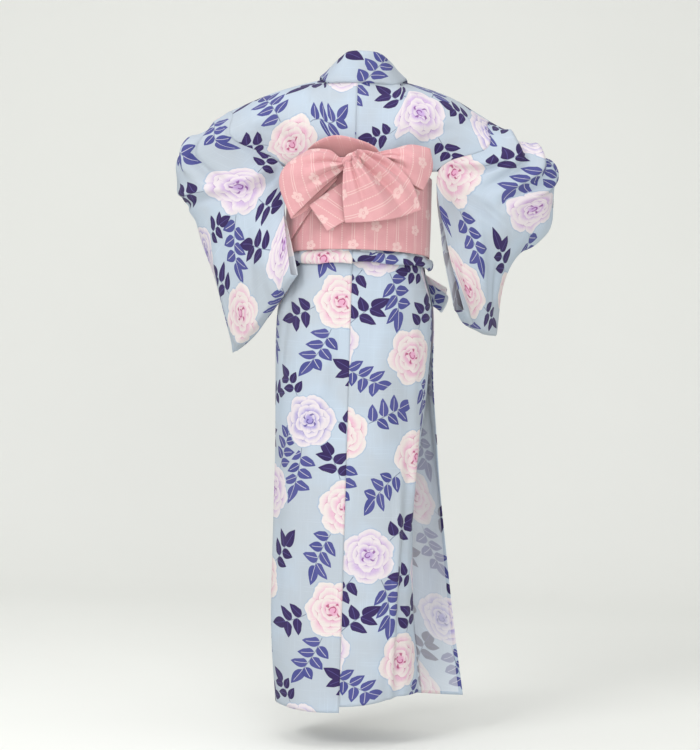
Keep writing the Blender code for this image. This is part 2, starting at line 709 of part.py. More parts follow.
def tuck_right(columns=10):
    """The right lengths' fold, from the centre back until it goes under the left one's end."""
    def base(share, out):
        back, front = TUCK_BACK + out, TUCK_FRONT + out - LAYER
        plan = hermite_run([
            (flat(CENTRE_SEAM_X, -back), flat(1, 0)),
            (flat(TUCK_HALF_WIDTH + out, 0), flat(0, 1)),
            (flat(0, front), flat(-1, 0)),
        ])
        return along(plan, length_of(plan) * TUCK_RIGHT_REACH * share)

    lines = [tuck_line(share, TUCK_RIGHT_TOP, TUCK_RIGHT_LOW, base) for share in shares(columns)]
    return Cloth("tuck_right", COTTON, TUCK_WALL).add_rows(lines)


def bow_piece(name, table, along_steps, across_steps, turned):
    """A stretch of the obi in the bow, smooth through the sections of its table."""
    sections = [[Vector(p) for p in row] for row in table]
    rows = []
    for share in shares(along_steps):
        section = [smooth_through([row[k] for row in sections], share)
                   for k in range(len(sections[0]))]
        rows.append([smooth_through(section, t) for t in shares(across_steps)])
    return Cloth(name, OBI_LIGHT, OBI_WALL).add_rows(rows, turned=turned)


def knot(rings=8, round_steps=14):
    """The gathered knot, a closed roll."""
    turn = Matrix.Rotation(KNOT_TURN, 3, "Y")
    rows = []
    for k in range(round_steps):
        row = []
        for t in shares(rings):
            angle, polar = 2 * math.pi * k / round_steps, math.pi * t
            here = Vector((
                -KNOT_REACH[0] * math.cos(polar),
                KNOT_REACH[1] * math.sin(polar) * math.cos(angle),
                KNOT_REACH[2] * math.sin(polar) * math.sin(angle),
            ))
            row.append(Vector(KNOT_MIDDLE) + turn @ here)
        rows.append(row)
    return Cloth("bow_knot", OBI_LIGHT).add_rows(rows, closed=True, turned=True)


def make_filled(piece):
    """A piece that is closed all round has no wall of its own."""
    mesh = bpy.data.meshes.new(piece.name)
    mesh.from_pydata([tuple(p) for p in piece.points], [], piece.quads)
    mesh.shade_smooth()
    mesh.materials.append(dyed(piece))
    bpy.context.scene.collection.objects.link(bpy.data.objects.new(piece.name, mesh))


def skirt():
    """The six lengths of the skirt, three from the centre seam round each way."""
    seams = (0, BACK_WIDTH, BACK_WIDTH + FRONT_WIDTH, None)
    return [
        skirt_length(f"{name}_{side}", side, start, end, columns)
        for side in ("left", "right")
        for name, start, end, columns in zip(("back", "front", "overlap"), seams, seams[1:], (8, 6, 4))
    ]


def main():
    for old in list(bpy.data.objects):
        bpy.data.objects.remove(old)
    sides = ("left", "right")
    sew([sleeve(side) for side in sides] + [upper_length(side) for side in sides])
    sew([collar()])
    sew(skirt())
    sew([tuck_left(), tuck_right()])
    sew([obi_band()])
    for piece in BOW:
        sew([bow_piece(*piece)])
    make_filled(knot())


main()
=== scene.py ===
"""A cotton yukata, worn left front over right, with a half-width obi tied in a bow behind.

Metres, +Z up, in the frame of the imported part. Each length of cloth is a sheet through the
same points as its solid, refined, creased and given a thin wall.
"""

import math
from collections import namedtuple
from functools import lru_cache

import bmesh
import bpy
import numpy as np
from bpy.props import FloatProperty, FloatVectorProperty, PointerProperty
from bpy.types import Operator, Panel, PropertyGroup
from mathutils import Matrix, Vector


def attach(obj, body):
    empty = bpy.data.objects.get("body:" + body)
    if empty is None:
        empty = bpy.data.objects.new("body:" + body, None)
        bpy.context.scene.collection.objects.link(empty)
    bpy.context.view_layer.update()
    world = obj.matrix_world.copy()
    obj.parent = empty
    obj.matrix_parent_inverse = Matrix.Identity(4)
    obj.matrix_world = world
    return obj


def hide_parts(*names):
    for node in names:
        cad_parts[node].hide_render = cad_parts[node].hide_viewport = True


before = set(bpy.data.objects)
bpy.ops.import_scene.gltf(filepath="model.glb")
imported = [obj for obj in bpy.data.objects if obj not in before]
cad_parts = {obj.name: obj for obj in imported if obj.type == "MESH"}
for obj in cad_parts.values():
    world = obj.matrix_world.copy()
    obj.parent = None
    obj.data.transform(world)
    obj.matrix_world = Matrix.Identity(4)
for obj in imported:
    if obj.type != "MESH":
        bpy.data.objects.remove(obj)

bl_info = {
    "name": "Cotton yukata",
    "version": (1, 0, 0),
    "blender": (4, 5, 0),
    "location": "View3D > Sidebar > Yukata",
    "description": "Makes a worn yukata with its print, and a half-width obi tied in a bow",
    "category": "Add Mesh",
}

LAYER = 0.005  # from one layer of cloth to the layer on it
SIDES = ("left", "right")

# The cut
SIDE_SEAM = 0.300  # a back length's width, from the centre seam
OVERLAP_SEAM = SIDE_SEAM + 0.250  # and a front length's, on from there

# The worn form
CENTRE_SEAM_X = -0.012
WAIST_Z = -0.338  # where the upper lengths stop under the obi
CHEST_CROSSING = (0.16, 0.42)  # the levels between which the right front goes under the left
OBI_TOP_Z = -0.180
OBI_BOTTOM_Z = -0.345
OBI_HALF_WIDTH = 0.150
OBI_BACK = 0.126
OBI_FRONT = 0.128
BACK_FLAT = 0.038  # the skirt hangs flat this far to each side of the centre seam
HEM_STEP = 0.012  # the right back hem stands this much higher at the centre seam
SIDE_LIFT, EDGE_LIFT, UNDER_LIFT = 0.004, 0.008, 0.018  # how the hem rises round the body
ROUND_SKIRT = 0.70  # the distance round over which it rises
SIDE_ROUND, FRONT_ROUND, STEP_ROUND = 0.3, 0.5, 0.2  # the shares of it where they end or start

# The upper lengths: for each level down the body, a point on each thread that hangs there.
# The outermost thread follows the sleeve's armhole down to the armpit.
Back = namedtuple("Back", "centre corner neck blade side")
BACK_LEVELS = {
    "ridge": Back((0, -0.108, 0.000), (0.070, -0.088, 0.001), (0.084, -0.040, 0.018),
                  (0.178, -0.030, -0.007), None),
    "yoke": Back((0, -0.116, -0.030), (0.068, -0.106, -0.026), (0.096, -0.096, -0.020),
                 (0.180, -0.074, -0.030), None),
    "blade": Back((0, -0.120, -0.088), (0.060, -0.118, -0.085), (0.100, -0.112, -0.080),
                  (0.178, -0.094, -0.080), None),
    "armpit": Back((0, -0.119, -0.142), (0.052, -0.116, -0.142), (0.090, -0.105, -0.142),
                   (0.130, -0.084, -0.145), None),
    "obi": Back((0, -0.114, -0.176), (0.048, -0.110, -0.176), (0.084, -0.096, -0.176),
                (0.114, -0.074, -0.176), (0.141, -0.008, -0.178)),
    "waist": Back((0, -0.110, WAIST_Z), (0.048, -0.106, WAIST_Z), (0.084, -0.093, WAIST_Z),
                  (0.116, -0.070, WAIST_Z), (0.141, -0.004, WAIST_Z)),
}
Front = namedtuple("Front", "centre neck blade side")
FRONT_LEVELS = {
    "ridge": Front((0, -0.020, -0.004), (0.084, -0.040, 0.018), (0.178, -0.030, -0.007), None),
    "bone": Front((0, 0.050, -0.046), (0.086, 0.022, -0.014), (0.180, 0.014, -0.030), None),
    "chest": Front((0, 0.096, -0.100), (0.086, 0.072, -0.078), (0.176, 0.046, -0.082), None),
    "armpit": Front((0, 0.109, -0.145), (0.082, 0.095, -0.142), (0.130, 0.069, -0.145), None),
    "obi": Front((0, 0.109, -0.176), (0.078, 0.092, -0.176), (0.114, 0.066, -0.176),
                 (0.141, -0.008, -0.178)),
    "waist": Front((0, 0.104, WAIST_Z), (0.078, 0.088, WAIST_Z), (0.116, 0.062, WAIST_Z),
                   (0.141, -0.004, WAIST_Z)),
}
ARMPIT_LEVEL = 3  # the armpit's place among the levels
ARMPIT_SHARE = ARMPIT_LEVEL / (len(BACK_LEVELS) - 1)
ARMHOLE_POINTS = 60
CHEST_STEP = 0.01  # the share to each side that tells which way the chest faces
UPPER_LEVELS = 24  # levels set out, and smoothed through
NECK_THREADS, SHOULDER_THREADS = 6, 14  # threads set out at the neck, and on to the armhole
NECK_EASE = 0.003  # how far the front starts outside the collar's first seam, a share across
NECK_THREAD = 0.5  # the neck's share across the back's five threads
ARMHOLE_REACH = 0.35  # the share across from which cloth is drawn to the armhole
SIDE_REACH = 0.8  # the share across from which a front is drawn to the back at the side

# The collar's seam and fold: at the neck as points, on the chest as (thread, level) shares.
COLLAR_X = -0.008  # the collar's middle at the nape
COLLAR_FOLD_LIFT = 1.2 * LAYER  # its fold stands this far out on the chest
NAPE_ROWS, COLLAR_ROWS = 12, 20  # rows set out round the neck, and down the chest
COLLAR_NECK = (  # seam, fold
    ((0.000, -0.1125, 0.0030), (0.000, -0.1240, 0.0590)),
    ((0.036, -0.1080, 0.0035), (0.022, -0.1210, 0.0585)),
    ((0.070, -0.0910, 0.0060), (0.040, -0.1080, 0.0560)),
    ((0.088, -0.0450, 0.0250), (0.060, -0.0600, 0.0450)),
)
NECK_LAST = len(COLLAR_NECK) - 1
CollarRow = namedtuple("CollarRow", "level seam fold_level fold")
COLLAR_CHEST = (
    CollarRow(0.10, 0.338, 0.03, 0.235),
    CollarRow(0.325, 0.280, 0.26, 0.080),
    CollarRow(0.55, 0.120, 0.48, -0.110),
    CollarRow(0.775, -0.070, 0.74, -0.300),
    CollarRow(1.00, -0.300, 1.00, -0.540),
)

# The sleeves: sections from the armhole to the cuff. Each hangs through five points, from
# the highest to the lowest, with the arm's radius and half the gap between the layers.
SleeveRow = namedtuple("SleeveRow", "top arm under middle low radius gap")
SLEEVES = {
    "left": (
        SleeveRow((0.281, -0.020, -0.051), (0.278, -0.036, -0.118), (0.170, -0.036, -0.166),
                  (0.152, -0.078, -0.280), (0.128, -0.112, -0.400), 0.052, 0.009),
        SleeveRow((0.320, -0.036, -0.086), (0.322, -0.046, -0.155), (0.262, -0.055, -0.235),
                  (0.212, -0.056, -0.345), (0.170, -0.050, -0.455), 0.048, 0.011),
        SleeveRow((0.331, -0.020, -0.136), (0.338, -0.022, -0.206), (0.314, -0.012, -0.295),
                  (0.270, 0.008, -0.415), (0.230, 0.030, -0.525), 0.046, 0.011),
        SleeveRow((0.306, 0.060, -0.162), (0.319, 0.064, -0.226), (0.308, 0.072, -0.310),
                  (0.286, 0.092, -0.430), (0.266, 0.115, -0.548), 0.042, 0.006),
    ),
    "right": (
        SleeveRow((0.270, -0.020, -0.056), (0.268, -0.036, -0.122), (0.164, -0.034, -0.168),
                  (0.176, -0.042, -0.310), (0.212, -0.040, -0.455), 0.052, 0.012),
        SleeveRow((0.308, -0.036, -0.082), (0.314, -0.044, -0.150), (0.262, -0.045, -0.240),
                  (0.236, -0.020, -0.360), (0.236, 0.020, -0.478), 0.048, 0.012),
        SleeveRow((0.342, -0.024, -0.110), (0.360, -0.022, -0.183), (0.346, -0.014, -0.262),
                  (0.290, 0.020, -0.362), (0.280, 0.090, -0.492), 0.046, 0.010),
        SleeveRow((0.350, 0.048, -0.140), (0.378, 0.040, -0.208), (0.384, 0.038, -0.276),
                  (0.320, 0.070, -0.352), (0.308, 0.150, -0.492), 0.042, 0.006),
    ),
}
ARM_ARC = math.radians(110)  # how far round the arm the cloth lies on it
CUFF_LENGTH = 0.215  # how far down the outer edge the cuff is open
CUFF_EASE = 0.035  # how far up from there its edge is drawn shut
SEWN_FROM = 0.93  # the share along the sleeve from which it is drawn shut
SEWN_HALF = 0.001  # half the gap between the layers where the edge is sewn up
FOLD_ROUND = 0.002  # how sharply the lower edge is folded
ARC_STEPS = 4  # a section's steps on the arm
HELD_STEPS = ARC_STEPS + 2  # and down to the armpit's seam
ALL_STEPS = HELD_STEPS + 5  # and down to the fold
SECTION_STEP = 0.02  # the share along to each side that tells which way the sleeve runs
HELD_STEP, HUNG_STEP = 0.2, 0.12  # how closely a section is set out down to the seam, and below
FOLD_STEPS, FOLD_POINTS = 0.15, 12  # and at the fold: its steps, and the points on them
SLEEVE_SECTIONS = 30  # sections set out along a sleeve, and smoothed through

# The skirt: the plan of its two lengths at each height.
SkirtRow = namedtuple("SkirtRow", "z left back front fold_x fold_y right right_y edge_x edge_y turn")
SKIRT = (
    SkirtRow(-0.342, 0.134, 0.101, 0.102, 0.106, -0.065, 0.134, 0.000, 0.138, 0.010, -85),
    SkirtRow(-0.385, 0.143, 0.108, 0.106, 0.114, -0.068, 0.140, 0.000, 0.1445, 0.010, -85),
    SkirtRow(-0.460, 0.165, 0.116, 0.117, 0.132, -0.066, 0.154, 0.000, 0.165, 0.014, -82),
    SkirtRow(-0.620, 0.165, 0.110, 0.118, 0.138, -0.050, 0.148, 0.000, 0.172, 0.026, -76),
    SkirtRow(-0.850, 0.161, 0.101, 0.115, 0.116, -0.062, 0.130, 0.000, 0.192, 0.044, -60),
    SkirtRow(-1.070, 0.158, 0.096, 0.112, 0.084, -0.082, 0.134, 0.004, 0.220, 0.062, -40),
    SkirtRow(-1.275, 0.143, 0.096, 0.110, 0.084, -0.084, 0.150, 0.010, 0.250, 0.075, -18),
)

UNDER_LAYERS = 1.5  # how many layers the right lengths lie inside the left ones
UNDER_END = (0.82, 0.5)  # where they end, as shares of the half width and of the back

# The tuck under the obi: how far its fold stands out from the waist, down its height.
TUCK_HALF_WIDTH, TUCK_BACK, TUCK_FRONT = 0.1395, 0.1095, 0.1090
TUCK_PROFILE = ((0.00, 0.0050), (0.20, 0.0072), (0.42, 0.0155), (0.70, 0.0180), (0.92, 0.0158),
                (1.00, 0.0120), (0.90, 0.0090), (0.50, 0.0070))  # down, out
TuckRow = namedtuple("TuckRow", "share top low stand")
TUCK_LEFT = (
    TuckRow(0.00, -0.340, -0.374, 0.000),
    TuckRow(0.20, -0.340, -0.372, 0.000),
    TuckRow(0.40, -0.340, -0.378, 0.002),
    TuckRow(0.60, -0.340, -0.388, 0.006),
    TuckRow(0.80, -0.340, -0.402, 0.012),
    TuckRow(1.00, -0.402, -0.450, 0.014),
)
TUCK_EDGE = (0.184, 0.022)  # where the left front's end of the tuck stands out
TUCK_CORNER = 0.72  # where it rounds the front, as a share of the half width and of the front
TUCK_SLANT = 0.052  # the share of the way round that its lower corner stays back
SLANT_FROM = 0.85  # the share of the way round from which it does
TUCK_RIGHT_TOP, TUCK_RIGHT_LOW, TUCK_RIGHT_REACH = -0.340, -0.370, 0.56

# The bow: each piece is a table of sections, from the knot outwards.
BOW_WING_LEFT = (
    ((-0.042, -0.150, -0.166), (-0.043, -0.163, -0.176), (-0.044, -0.163, -0.187),
     (-0.045, -0.153, -0.200)),
    ((-0.062, -0.152, -0.151), (-0.070, -0.172, -0.172), (-0.074, -0.174, -0.196),
     (-0.078, -0.158, -0.231)),
    ((-0.088, -0.150, -0.148), (-0.108, -0.174, -0.178), (-0.113, -0.172, -0.216),
     (-0.110, -0.152, -0.263)),
    ((-0.109, -0.141, -0.151), (-0.151, -0.142, -0.182), (-0.163, -0.142, -0.222),
     (-0.137, -0.144, -0.290)),
    ((-0.090, -0.131, -0.153), (-0.116, -0.132, -0.182), (-0.122, -0.132, -0.222),
     (-0.106, -0.134, -0.270)),
    ((-0.048, -0.134, -0.168), (-0.049, -0.134, -0.180), (-0.049, -0.135, -0.194),
     (-0.048, -0.137, -0.208)),
)
BOW_WING_RIGHT = (
    ((0.034, -0.146, -0.154), (0.036, -0.152, -0.160), (0.038, -0.147, -0.168)),
    ((0.066, -0.148, -0.143), (0.073, -0.166, -0.161), (0.072, -0.155, -0.189)),
    ((0.100, -0.146, -0.134), (0.108, -0.164, -0.166), (0.101, -0.150, -0.213)),
    ((0.138, -0.133, -0.139), (0.144, -0.131, -0.178), (0.126, -0.135, -0.224)),
    ((0.104, -0.123, -0.137), (0.110, -0.124, -0.170), (0.103, -0.124, -0.216)),
    ((0.044, -0.137, -0.155), (0.046, -0.137, -0.168), (0.047, -0.138, -0.186)),
)
BOW_LEAF = (
    ((-0.034, -0.182, -0.190), (-0.017, -0.188, -0.180), (0.000, -0.187, -0.168),
     (0.014, -0.178, -0.156)),
    ((-0.036, -0.182, -0.226), (-0.006, -0.190, -0.222), (0.026, -0.184, -0.204),
     (0.053, -0.172, -0.169)),
    ((-0.034, -0.174, -0.262), (0.010, -0.180, -0.258), (0.058, -0.172, -0.240),
     (0.098, -0.160, -0.207)),
    ((-0.029, -0.164, -0.298), (0.022, -0.168, -0.295), (0.078, -0.156, -0.283),
     (0.1245, -0.138, -0.263)),
)
BOW_END = (
    ((-0.036, -0.146, -0.212), (-0.010, -0.148, -0.246), (0.012, -0.150, -0.272)),
    ((-0.068, -0.148, -0.236), (-0.044, -0.154, -0.268), (-0.026, -0.152, -0.291)),
    ((-0.1025, -0.146, -0.262), (-0.083, -0.150, -0.288), (-0.064, -0.148, -0.3135)),
)
BOW_ARCH = (
    ((-0.107, -0.126, -0.150), (-0.108, -0.136, -0.147), (-0.104, -0.118, -0.160)),
    ((-0.085, -0.138, -0.131), (-0.085, -0.148, -0.133), (-0.082, -0.124, -0.156)),
    ((-0.052, -0.144, -0.121), (-0.052, -0.154, -0.124), (-0.052, -0.128, -0.150)),
    ((-0.010, -0.146, -0.127), (-0.010, -0.156, -0.131), (-0.012, -0.130, -0.154)),
    ((0.026, -0.142, -0.140), (0.026, -0.152, -0.144), (0.022, -0.130, -0.162)),
    ((0.040, -0.130, -0.156), (0.040, -0.138, -0.161), (0.036, -0.127, -0.170)),
)
Stretch = namedtuple("Stretch", "name sections columns rows turned")
BOW = (
    Stretch("bow_wing_left", BOW_WING_LEFT, 15, 7, True),
    Stretch("bow_wing_right", BOW_WING_RIGHT, 15, 5, False),
    Stretch("bow_leaf", BOW_LEAF, 8, 8, True),
    Stretch("bow_end", BOW_END, 5, 5, True),
    Stretch("bow_arch", BOW_ARCH, 12, 4, False),
)
KNOT_MIDDLE, KNOT_TURN = (-0.014, -0.166, -0.171), math.radians(-32)
KNOT_REACH = (0.026, 0.010, 0.014)
ARCH_RUN = 0.3  # how far the arch's lower edge goes on down, as a share of its height

# The obi's end folds up to the knot along a slanting line on the left of the back. Angles
# are from the centre back over the right.
OBI_START, OBI_FINISH = math.radians(-70), math.radians(344)
OBI_LAPS = (math.radians(225), math.radians(285))  # where it rises onto its own start
OBI_TIP = 0.006  # the least height that is left of it where it goes under the bow
FOLD_LOW, FOLD_HIGH = (-0.131, -0.313), (-0.100, -0.270)  # two points on that line, x and z

# --- Creases, placed on the cut cloth: across it and down it, in metres -----------------------

Wave = namedtuple("Wave", "across down height shift")
Fold = namedtuple("Fold", "u v to_u to_v width height bow")
Gather = namedtuple("Gather", "share reach height width lean")

SLEEVE_WAVES = (
    Wave(0.110, 0.60, 0.0022, 0.4), Wave(0.190, 0.34, 0.0024, 1.7), Wave(0.065, 0.45, 0.0008, 2.9),
)
UPPER_WAVES = (Wave(0.120, 0.30, 0.0012, 0.9), Wave(0.200, 0.18, 0.0012, 2.2))
SKIRT_WAVES = {
    "left": (
        Wave(0.160, 1.40, 0.0026, 0.8), Wave(0.090, 0.80, 0.0010, 2.1),
        Wave(0.300, 0.55, 0.0020, 0.3),
    ),
    "right": (
        Wave(0.150, 1.50, 0.0022, 2.6), Wave(0.085, 0.70, 0.0010, 0.5),
        Wave(0.280, 0.60, 0.0018, 1.3),
    ),
}
TUCK_WAVES = (
    Wave(0.052, 0.20, 0.0016, 0.2), Wave(0.031, 0.13, 0.0009, 1.4), Wave(0.115, 0.30, 0.0018, 2.5),
)
COLLAR_WAVES = (Wave(0.100, 0.20, 0.0005, 0.6), Wave(0.210, 0.35, 0.0007, 2.0))
OBI_WAVES = (Wave(0.140, 0.25, 0.0007, 0.5), Wave(0.060, 0.40, 0.0004, 1.9))

# On a sleeve v is down the back from the shoulder, and below 0 down the front.
SLEEVE_FOLDS = {
    "left": (
        Fold(0.000, 0.205, 0.115, 0.176, 0.011, 0.0111, 0.006),
        Fold(0.000, 0.229, 0.120, 0.200, 0.008, -0.0097, 0.005),
        Fold(0.040, -0.03, 0.112, 0.216, 0.009, -0.0104, -0.012),
        Fold(0.072, -0.05, 0.135, 0.190, 0.012, 0.0104, -0.010),
        Fold(0.118, -0.04, 0.128, 0.150, 0.010, -0.0078, -0.006),
        Fold(0.235, 0.075, 0.105, 0.208, 0.010, 0.0097, 0.004),
        Fold(0.250, 0.120, 0.110, 0.228, 0.010, -0.0078, 0.006),
        Fold(0.180, 0.030, 0.235, 0.170, 0.012, 0.0065, -0.006),
        Fold(0.090, 0.240, 0.210, 0.255, 0.014, 0.0059, -0.008),
        Fold(0.095, 0.225, 0.150, 0.440, 0.016, -0.0059, 0.014),
        Fold(0.060, 0.250, 0.090, 0.470, 0.016, 0.0052, 0.010),
        Fold(0.215, 0.270, 0.240, 0.470, 0.016, 0.0059, -0.010),
        Fold(0.010, 0.030, 0.030, 0.190, 0.013, 0.0052, 0.010),
        Fold(0.020, -0.07, 0.160, -0.24, 0.012, 0.0078, 0.012),
        Fold(0.045, -0.05, 0.200, -0.21, 0.010, -0.0072, 0.010),
        Fold(0.160, -0.03, 0.220, -0.30, 0.012, -0.0065, 0.012),
        Fold(0.250, -0.05, 0.200, -0.42, 0.014, 0.0059, -0.010),
        Fold(0.090, -0.22, 0.120, -0.46, 0.017, 0.0052, 0.010),
    ),
    "right": (
        Fold(0.000, 0.190, 0.045, 0.070, 0.010, 0.0078, 0.010),
        Fold(0.000, 0.214, 0.060, 0.095, 0.008, -0.0091, 0.012),
        Fold(0.046, -0.05, 0.080, 0.180, 0.011, 0.0078, 0.006),
        Fold(0.072, -0.03, 0.102, 0.190, 0.008, -0.0091, 0.004),
        Fold(0.112, -0.07, 0.130, 0.215, 0.011, 0.0117, 0.004),
        Fold(0.142, -0.04, 0.152, 0.210, 0.008, -0.0104, 0.002),
        Fold(0.172, -0.06, 0.172, 0.200, 0.010, 0.0091, -0.004),
        Fold(0.196, -0.03, 0.190, 0.180, 0.008, -0.0065, -0.004),
        Fold(0.030, 0.215, 0.190, 0.235, 0.010, -0.0072, -0.010),
        Fold(0.030, 0.235, 0.180, 0.262, 0.013, 0.0065, -0.010),
        Fold(0.100, 0.240, 0.120, 0.460, 0.015, 0.0059, 0.010),
        Fold(0.160, 0.270, 0.170, 0.440, 0.014, -0.0059, 0.008),
        Fold(0.040, 0.250, 0.060, 0.480, 0.015, -0.0046, 0.006),
        Fold(0.020, -0.07, 0.170, -0.22, 0.012, 0.0078, -0.010),
        Fold(0.050, -0.05, 0.190, -0.18, 0.010, -0.0072, -0.010),
        Fold(0.150, -0.04, 0.200, -0.28, 0.011, -0.0065, 0.012),
        Fold(0.200, -0.08, 0.160, -0.42, 0.013, 0.0059, 0.010),
        Fold(0.080, -0.22, 0.070, -0.46, 0.016, 0.0052, 0.010),
    ),
}
BACK_FOLDS = {
    "left": (
        Fold(0.100, 0.02, 0.112, 0.19, 0.0045, -0.0022, 0.002),
        Fold(0.19, 0.06, 0.12, 0.17, 0.012, 0.0035, 0.008),
        Fold(0.21, 0.10, 0.13, 0.19, 0.009, -0.0030, 0.006),
        Fold(0.23, 0.03, 0.20, 0.13, 0.010, 0.0030, -0.006),
    ),
    "right": (
        Fold(0.102, 0.02, 0.108, 0.16, 0.005, -0.0018, -0.002),
        Fold(0.19, 0.05, 0.12, 0.16, 0.012, 0.0035, 0.008),
        Fold(0.22, 0.10, 0.12, 0.19, 0.009, -0.0035, 0.008),
        Fold(0.06, 0.06, 0.09, 0.058, 0.003, -0.0012, 0.0),
    ),
}
FRONT_FOLDS = {
    "left": (
        Fold(0.20, 0.04, 0.14, 0.18, 0.012, 0.004, 0.010),
        Fold(0.23, 0.08, 0.16, 0.20, 0.009, -0.003, 0.006),
        Fold(0.12, 0.02, 0.10, 0.20, 0.012, 0.002, 0.004),
    ),
    "right": (
        Fold(0.20, 0.05, 0.13, 0.17, 0.012, 0.004, 0.012),
        Fold(0.23, 0.09, 0.16, 0.21, 0.009, -0.003, 0.006),
        Fold(0.13, 0.03, 0.11, 0.20, 0.012, 0.002, 0.004),
    ),
}
SKIRT_FOLDS = {
    "left": (
        Fold(0.02, 0.03, 0.10, 0.50, 0.014, 0.0035, 0.010),
        Fold(0.12, 0.02, 0.17, 0.36, 0.011, -0.0035, -0.008),
        Fold(0.20, 0.25, 0.17, 0.92, 0.018, 0.0045, 0.012),
        Fold(0.34, 0.02, 0.37, 0.55, 0.014, 0.0040, 0.012),
        Fold(0.43, 0.03, 0.40, 0.80, 0.013, -0.0040, 0.010),
        Fold(0.52, 0.20, 0.50, 0.92, 0.016, 0.0040, -0.010),
        Fold(0.62, 0.04, 0.66, 0.70, 0.012, -0.0030, 0.008),
    ),
    "right": (
        Fold(0.06, 0.02, 0.04, 0.45, 0.013, -0.0030, 0.008),
        Fold(0.13, 0.03, 0.15, 0.60, 0.014, 0.0040, -0.010),
        Fold(0.118, 0.42, 0.108, 0.98, 0.007, 0.0065, 0.004),
        Fold(0.142, 0.40, 0.130, 0.98, 0.010, -0.0090, 0.004),
        Fold(0.24, 0.05, 0.22, 0.75, 0.014, 0.0040, 0.012),
        Fold(0.36, 0.03, 0.38, 0.50, 0.013, -0.0035, 0.010),
        Fold(0.47, 0.15, 0.45, 0.90, 0.016, 0.0035, -0.010),
    ),
}
TUCK_FOLDS = {
    "left": (
        Fold(0.05, 0.002, 0.075, 0.045, 0.006, 0.003, 0.003),
        Fold(0.13, 0.002, 0.12, 0.045, 0.006, -0.003, 0.003),
        Fold(0.24, 0.002, 0.27, 0.045, 0.007, 0.004, 0.004),
        Fold(0.36, 0.002, 0.35, 0.055, 0.007, -0.003, 0.004),
        Fold(0.48, 0.002, 0.52, 0.06, 0.008, 0.004, 0.004),
    ),
    "right": (
        Fold(0.04, 0.002, 0.05, 0.040, 0.006, -0.003, 0.003),
        Fold(0.10, 0.002, 0.13, 0.040, 0.007, 0.003, 0.003),
        Fold(0.19, 0.002, 0.17, 0.040, 0.006, -0.003, 0.003),
    ),
}
OBI_FOLDS = (
    Fold(0.95, 0.012, 1.08, 0.060, 0.006, 0.0020, 0.004),
    Fold(0.90, 0.030, 1.05, 0.110, 0.006, -0.0018, 0.006),
    Fold(0.20, 0.020, 0.26, 0.140, 0.010, 0.0015, 0.004),
)

BOW_GATHERS = {
    "bow_wing_left": (
        Gather(0.06, 0.090, -0.0040, 0.05, 0.00), Gather(0.22, 0.130, 0.0060, 0.07, 0.02),
        Gather(0.36, 0.150, -0.0075, 0.05, 0.00), Gather(0.52, 0.140, 0.0065, 0.07, 0.04),
        Gather(0.68, 0.130, -0.0060, 0.05, 0.06), Gather(0.84, 0.120, 0.0050, 0.06, 0.03),
    ),
    "bow_wing_right": (
        Gather(0.12, 0.110, 0.0045, 0.07, 0.02), Gather(0.34, 0.130, -0.0070, 0.06, 0.06),
        Gather(0.54, 0.130, 0.0065, 0.07, 0.08), Gather(0.74, 0.120, -0.0060, 0.06, 0.06),
        Gather(0.90, 0.100, 0.0040, 0.06, 0.02),
    ),
    "bow_leaf": (
        Gather(0.10, 0.150, 0.0055, 0.06, 0.00), Gather(0.24, 0.165, -0.0080, 0.05, 0.08),
        Gather(0.40, 0.180, 0.0120, 0.07, 0.18), Gather(0.55, 0.190, -0.0150, 0.055, 0.26),
        Gather(0.69, 0.170, 0.0120, 0.055, 0.22), Gather(0.83, 0.150, -0.0090, 0.05, 0.12),
        Gather(0.94, 0.120, 0.0035, 0.05, 0.04),
    ),
    "bow_end": (
        Gather(0.30, 0.054, 0.0037, 0.09, 0.00), Gather(0.70, 0.054, -0.0037, 0.09, 0.00),
    ),
}
BOW_FOLDS = {
    "bow_wing_left": (Fold(0.015, 0.030, 0.075, 0.012, 0.004, 0.0035, 0.003),),
    "bow_wing_right": (Fold(0.055, 0.010, 0.075, 0.070, 0.005, -0.0035, 0.003),),
}

FOLD_FADE = 0.7  # how soon a fold dies away at its ends
WAVE_BEND, BEND_LENGTH = 0.8, 1.7  # how far a wave wanders aside, and how slowly
FRONT_WAVES = 0.4  # how far on the waves of a sleeve's front are from those of its back
SEAM_EASE = 0.025  # the folds fade out this far from the centre seam
# How far below its top the waves of a cloth begin, and where they reach their full height
SHOULDER_EASE, TOP_EASE, TUCK_EASE = (0.03, 0.2), (0.02, 0.12), (0.004, 0.02)
# How far from these edges the folds fade out
RIDGE_EASE, ARMHOLE_EASE, SIDE_EASE, OBI_EASE = 0.02, 0.015, 0.01, 0.006
COLLAR_EDGES = (0.006, 0.003)  # how wide the collar's edges turn in, at its fold and its seam
GATHER_FULL = 0.25  # the share of its reach that a gather stays whole for
GATHER_NARROW = 0.5  # the share of its width that it has at the knot
SEAM_DEPTH, SEAM_REACH = 0.0008, 0.004  # how far and how widely a seam draws the cloth in
COLLAR_ROUND = 0.0015  # how far the collar's long edges turn in
KNOT_CREASE = 0.09  # the depth of the knot's folds, as a share

# Where each piece lies on the printed cloth: how far across and down it starts.
PRINT_SHIFT = {
    "sleeve_left": (0.05, 0.13), "sleeve_right": (0.21, 0.35),
    "upper_left": (0.12, 0.30), "upper_right": (0.02, 0.44),
    "collar": (0.03, 0.20),
    "back_left": (0.24, 0.02), "back_right": (0.10, 0.33),
    "front_left": (0.16, 0.48), "front_right": (0.30, 0.12),
    "overlap_left": (0.06, 0.22), "overlap_right": (0.27, 0.52),
    "tuck_left": (0.20, 0.10), "tuck_right": (0.13, 0.41),
}

# The size of a cut cloth, across and down it, and how it is held; no piece is given one.
Cut = namedtuple("Cut", "flat held")

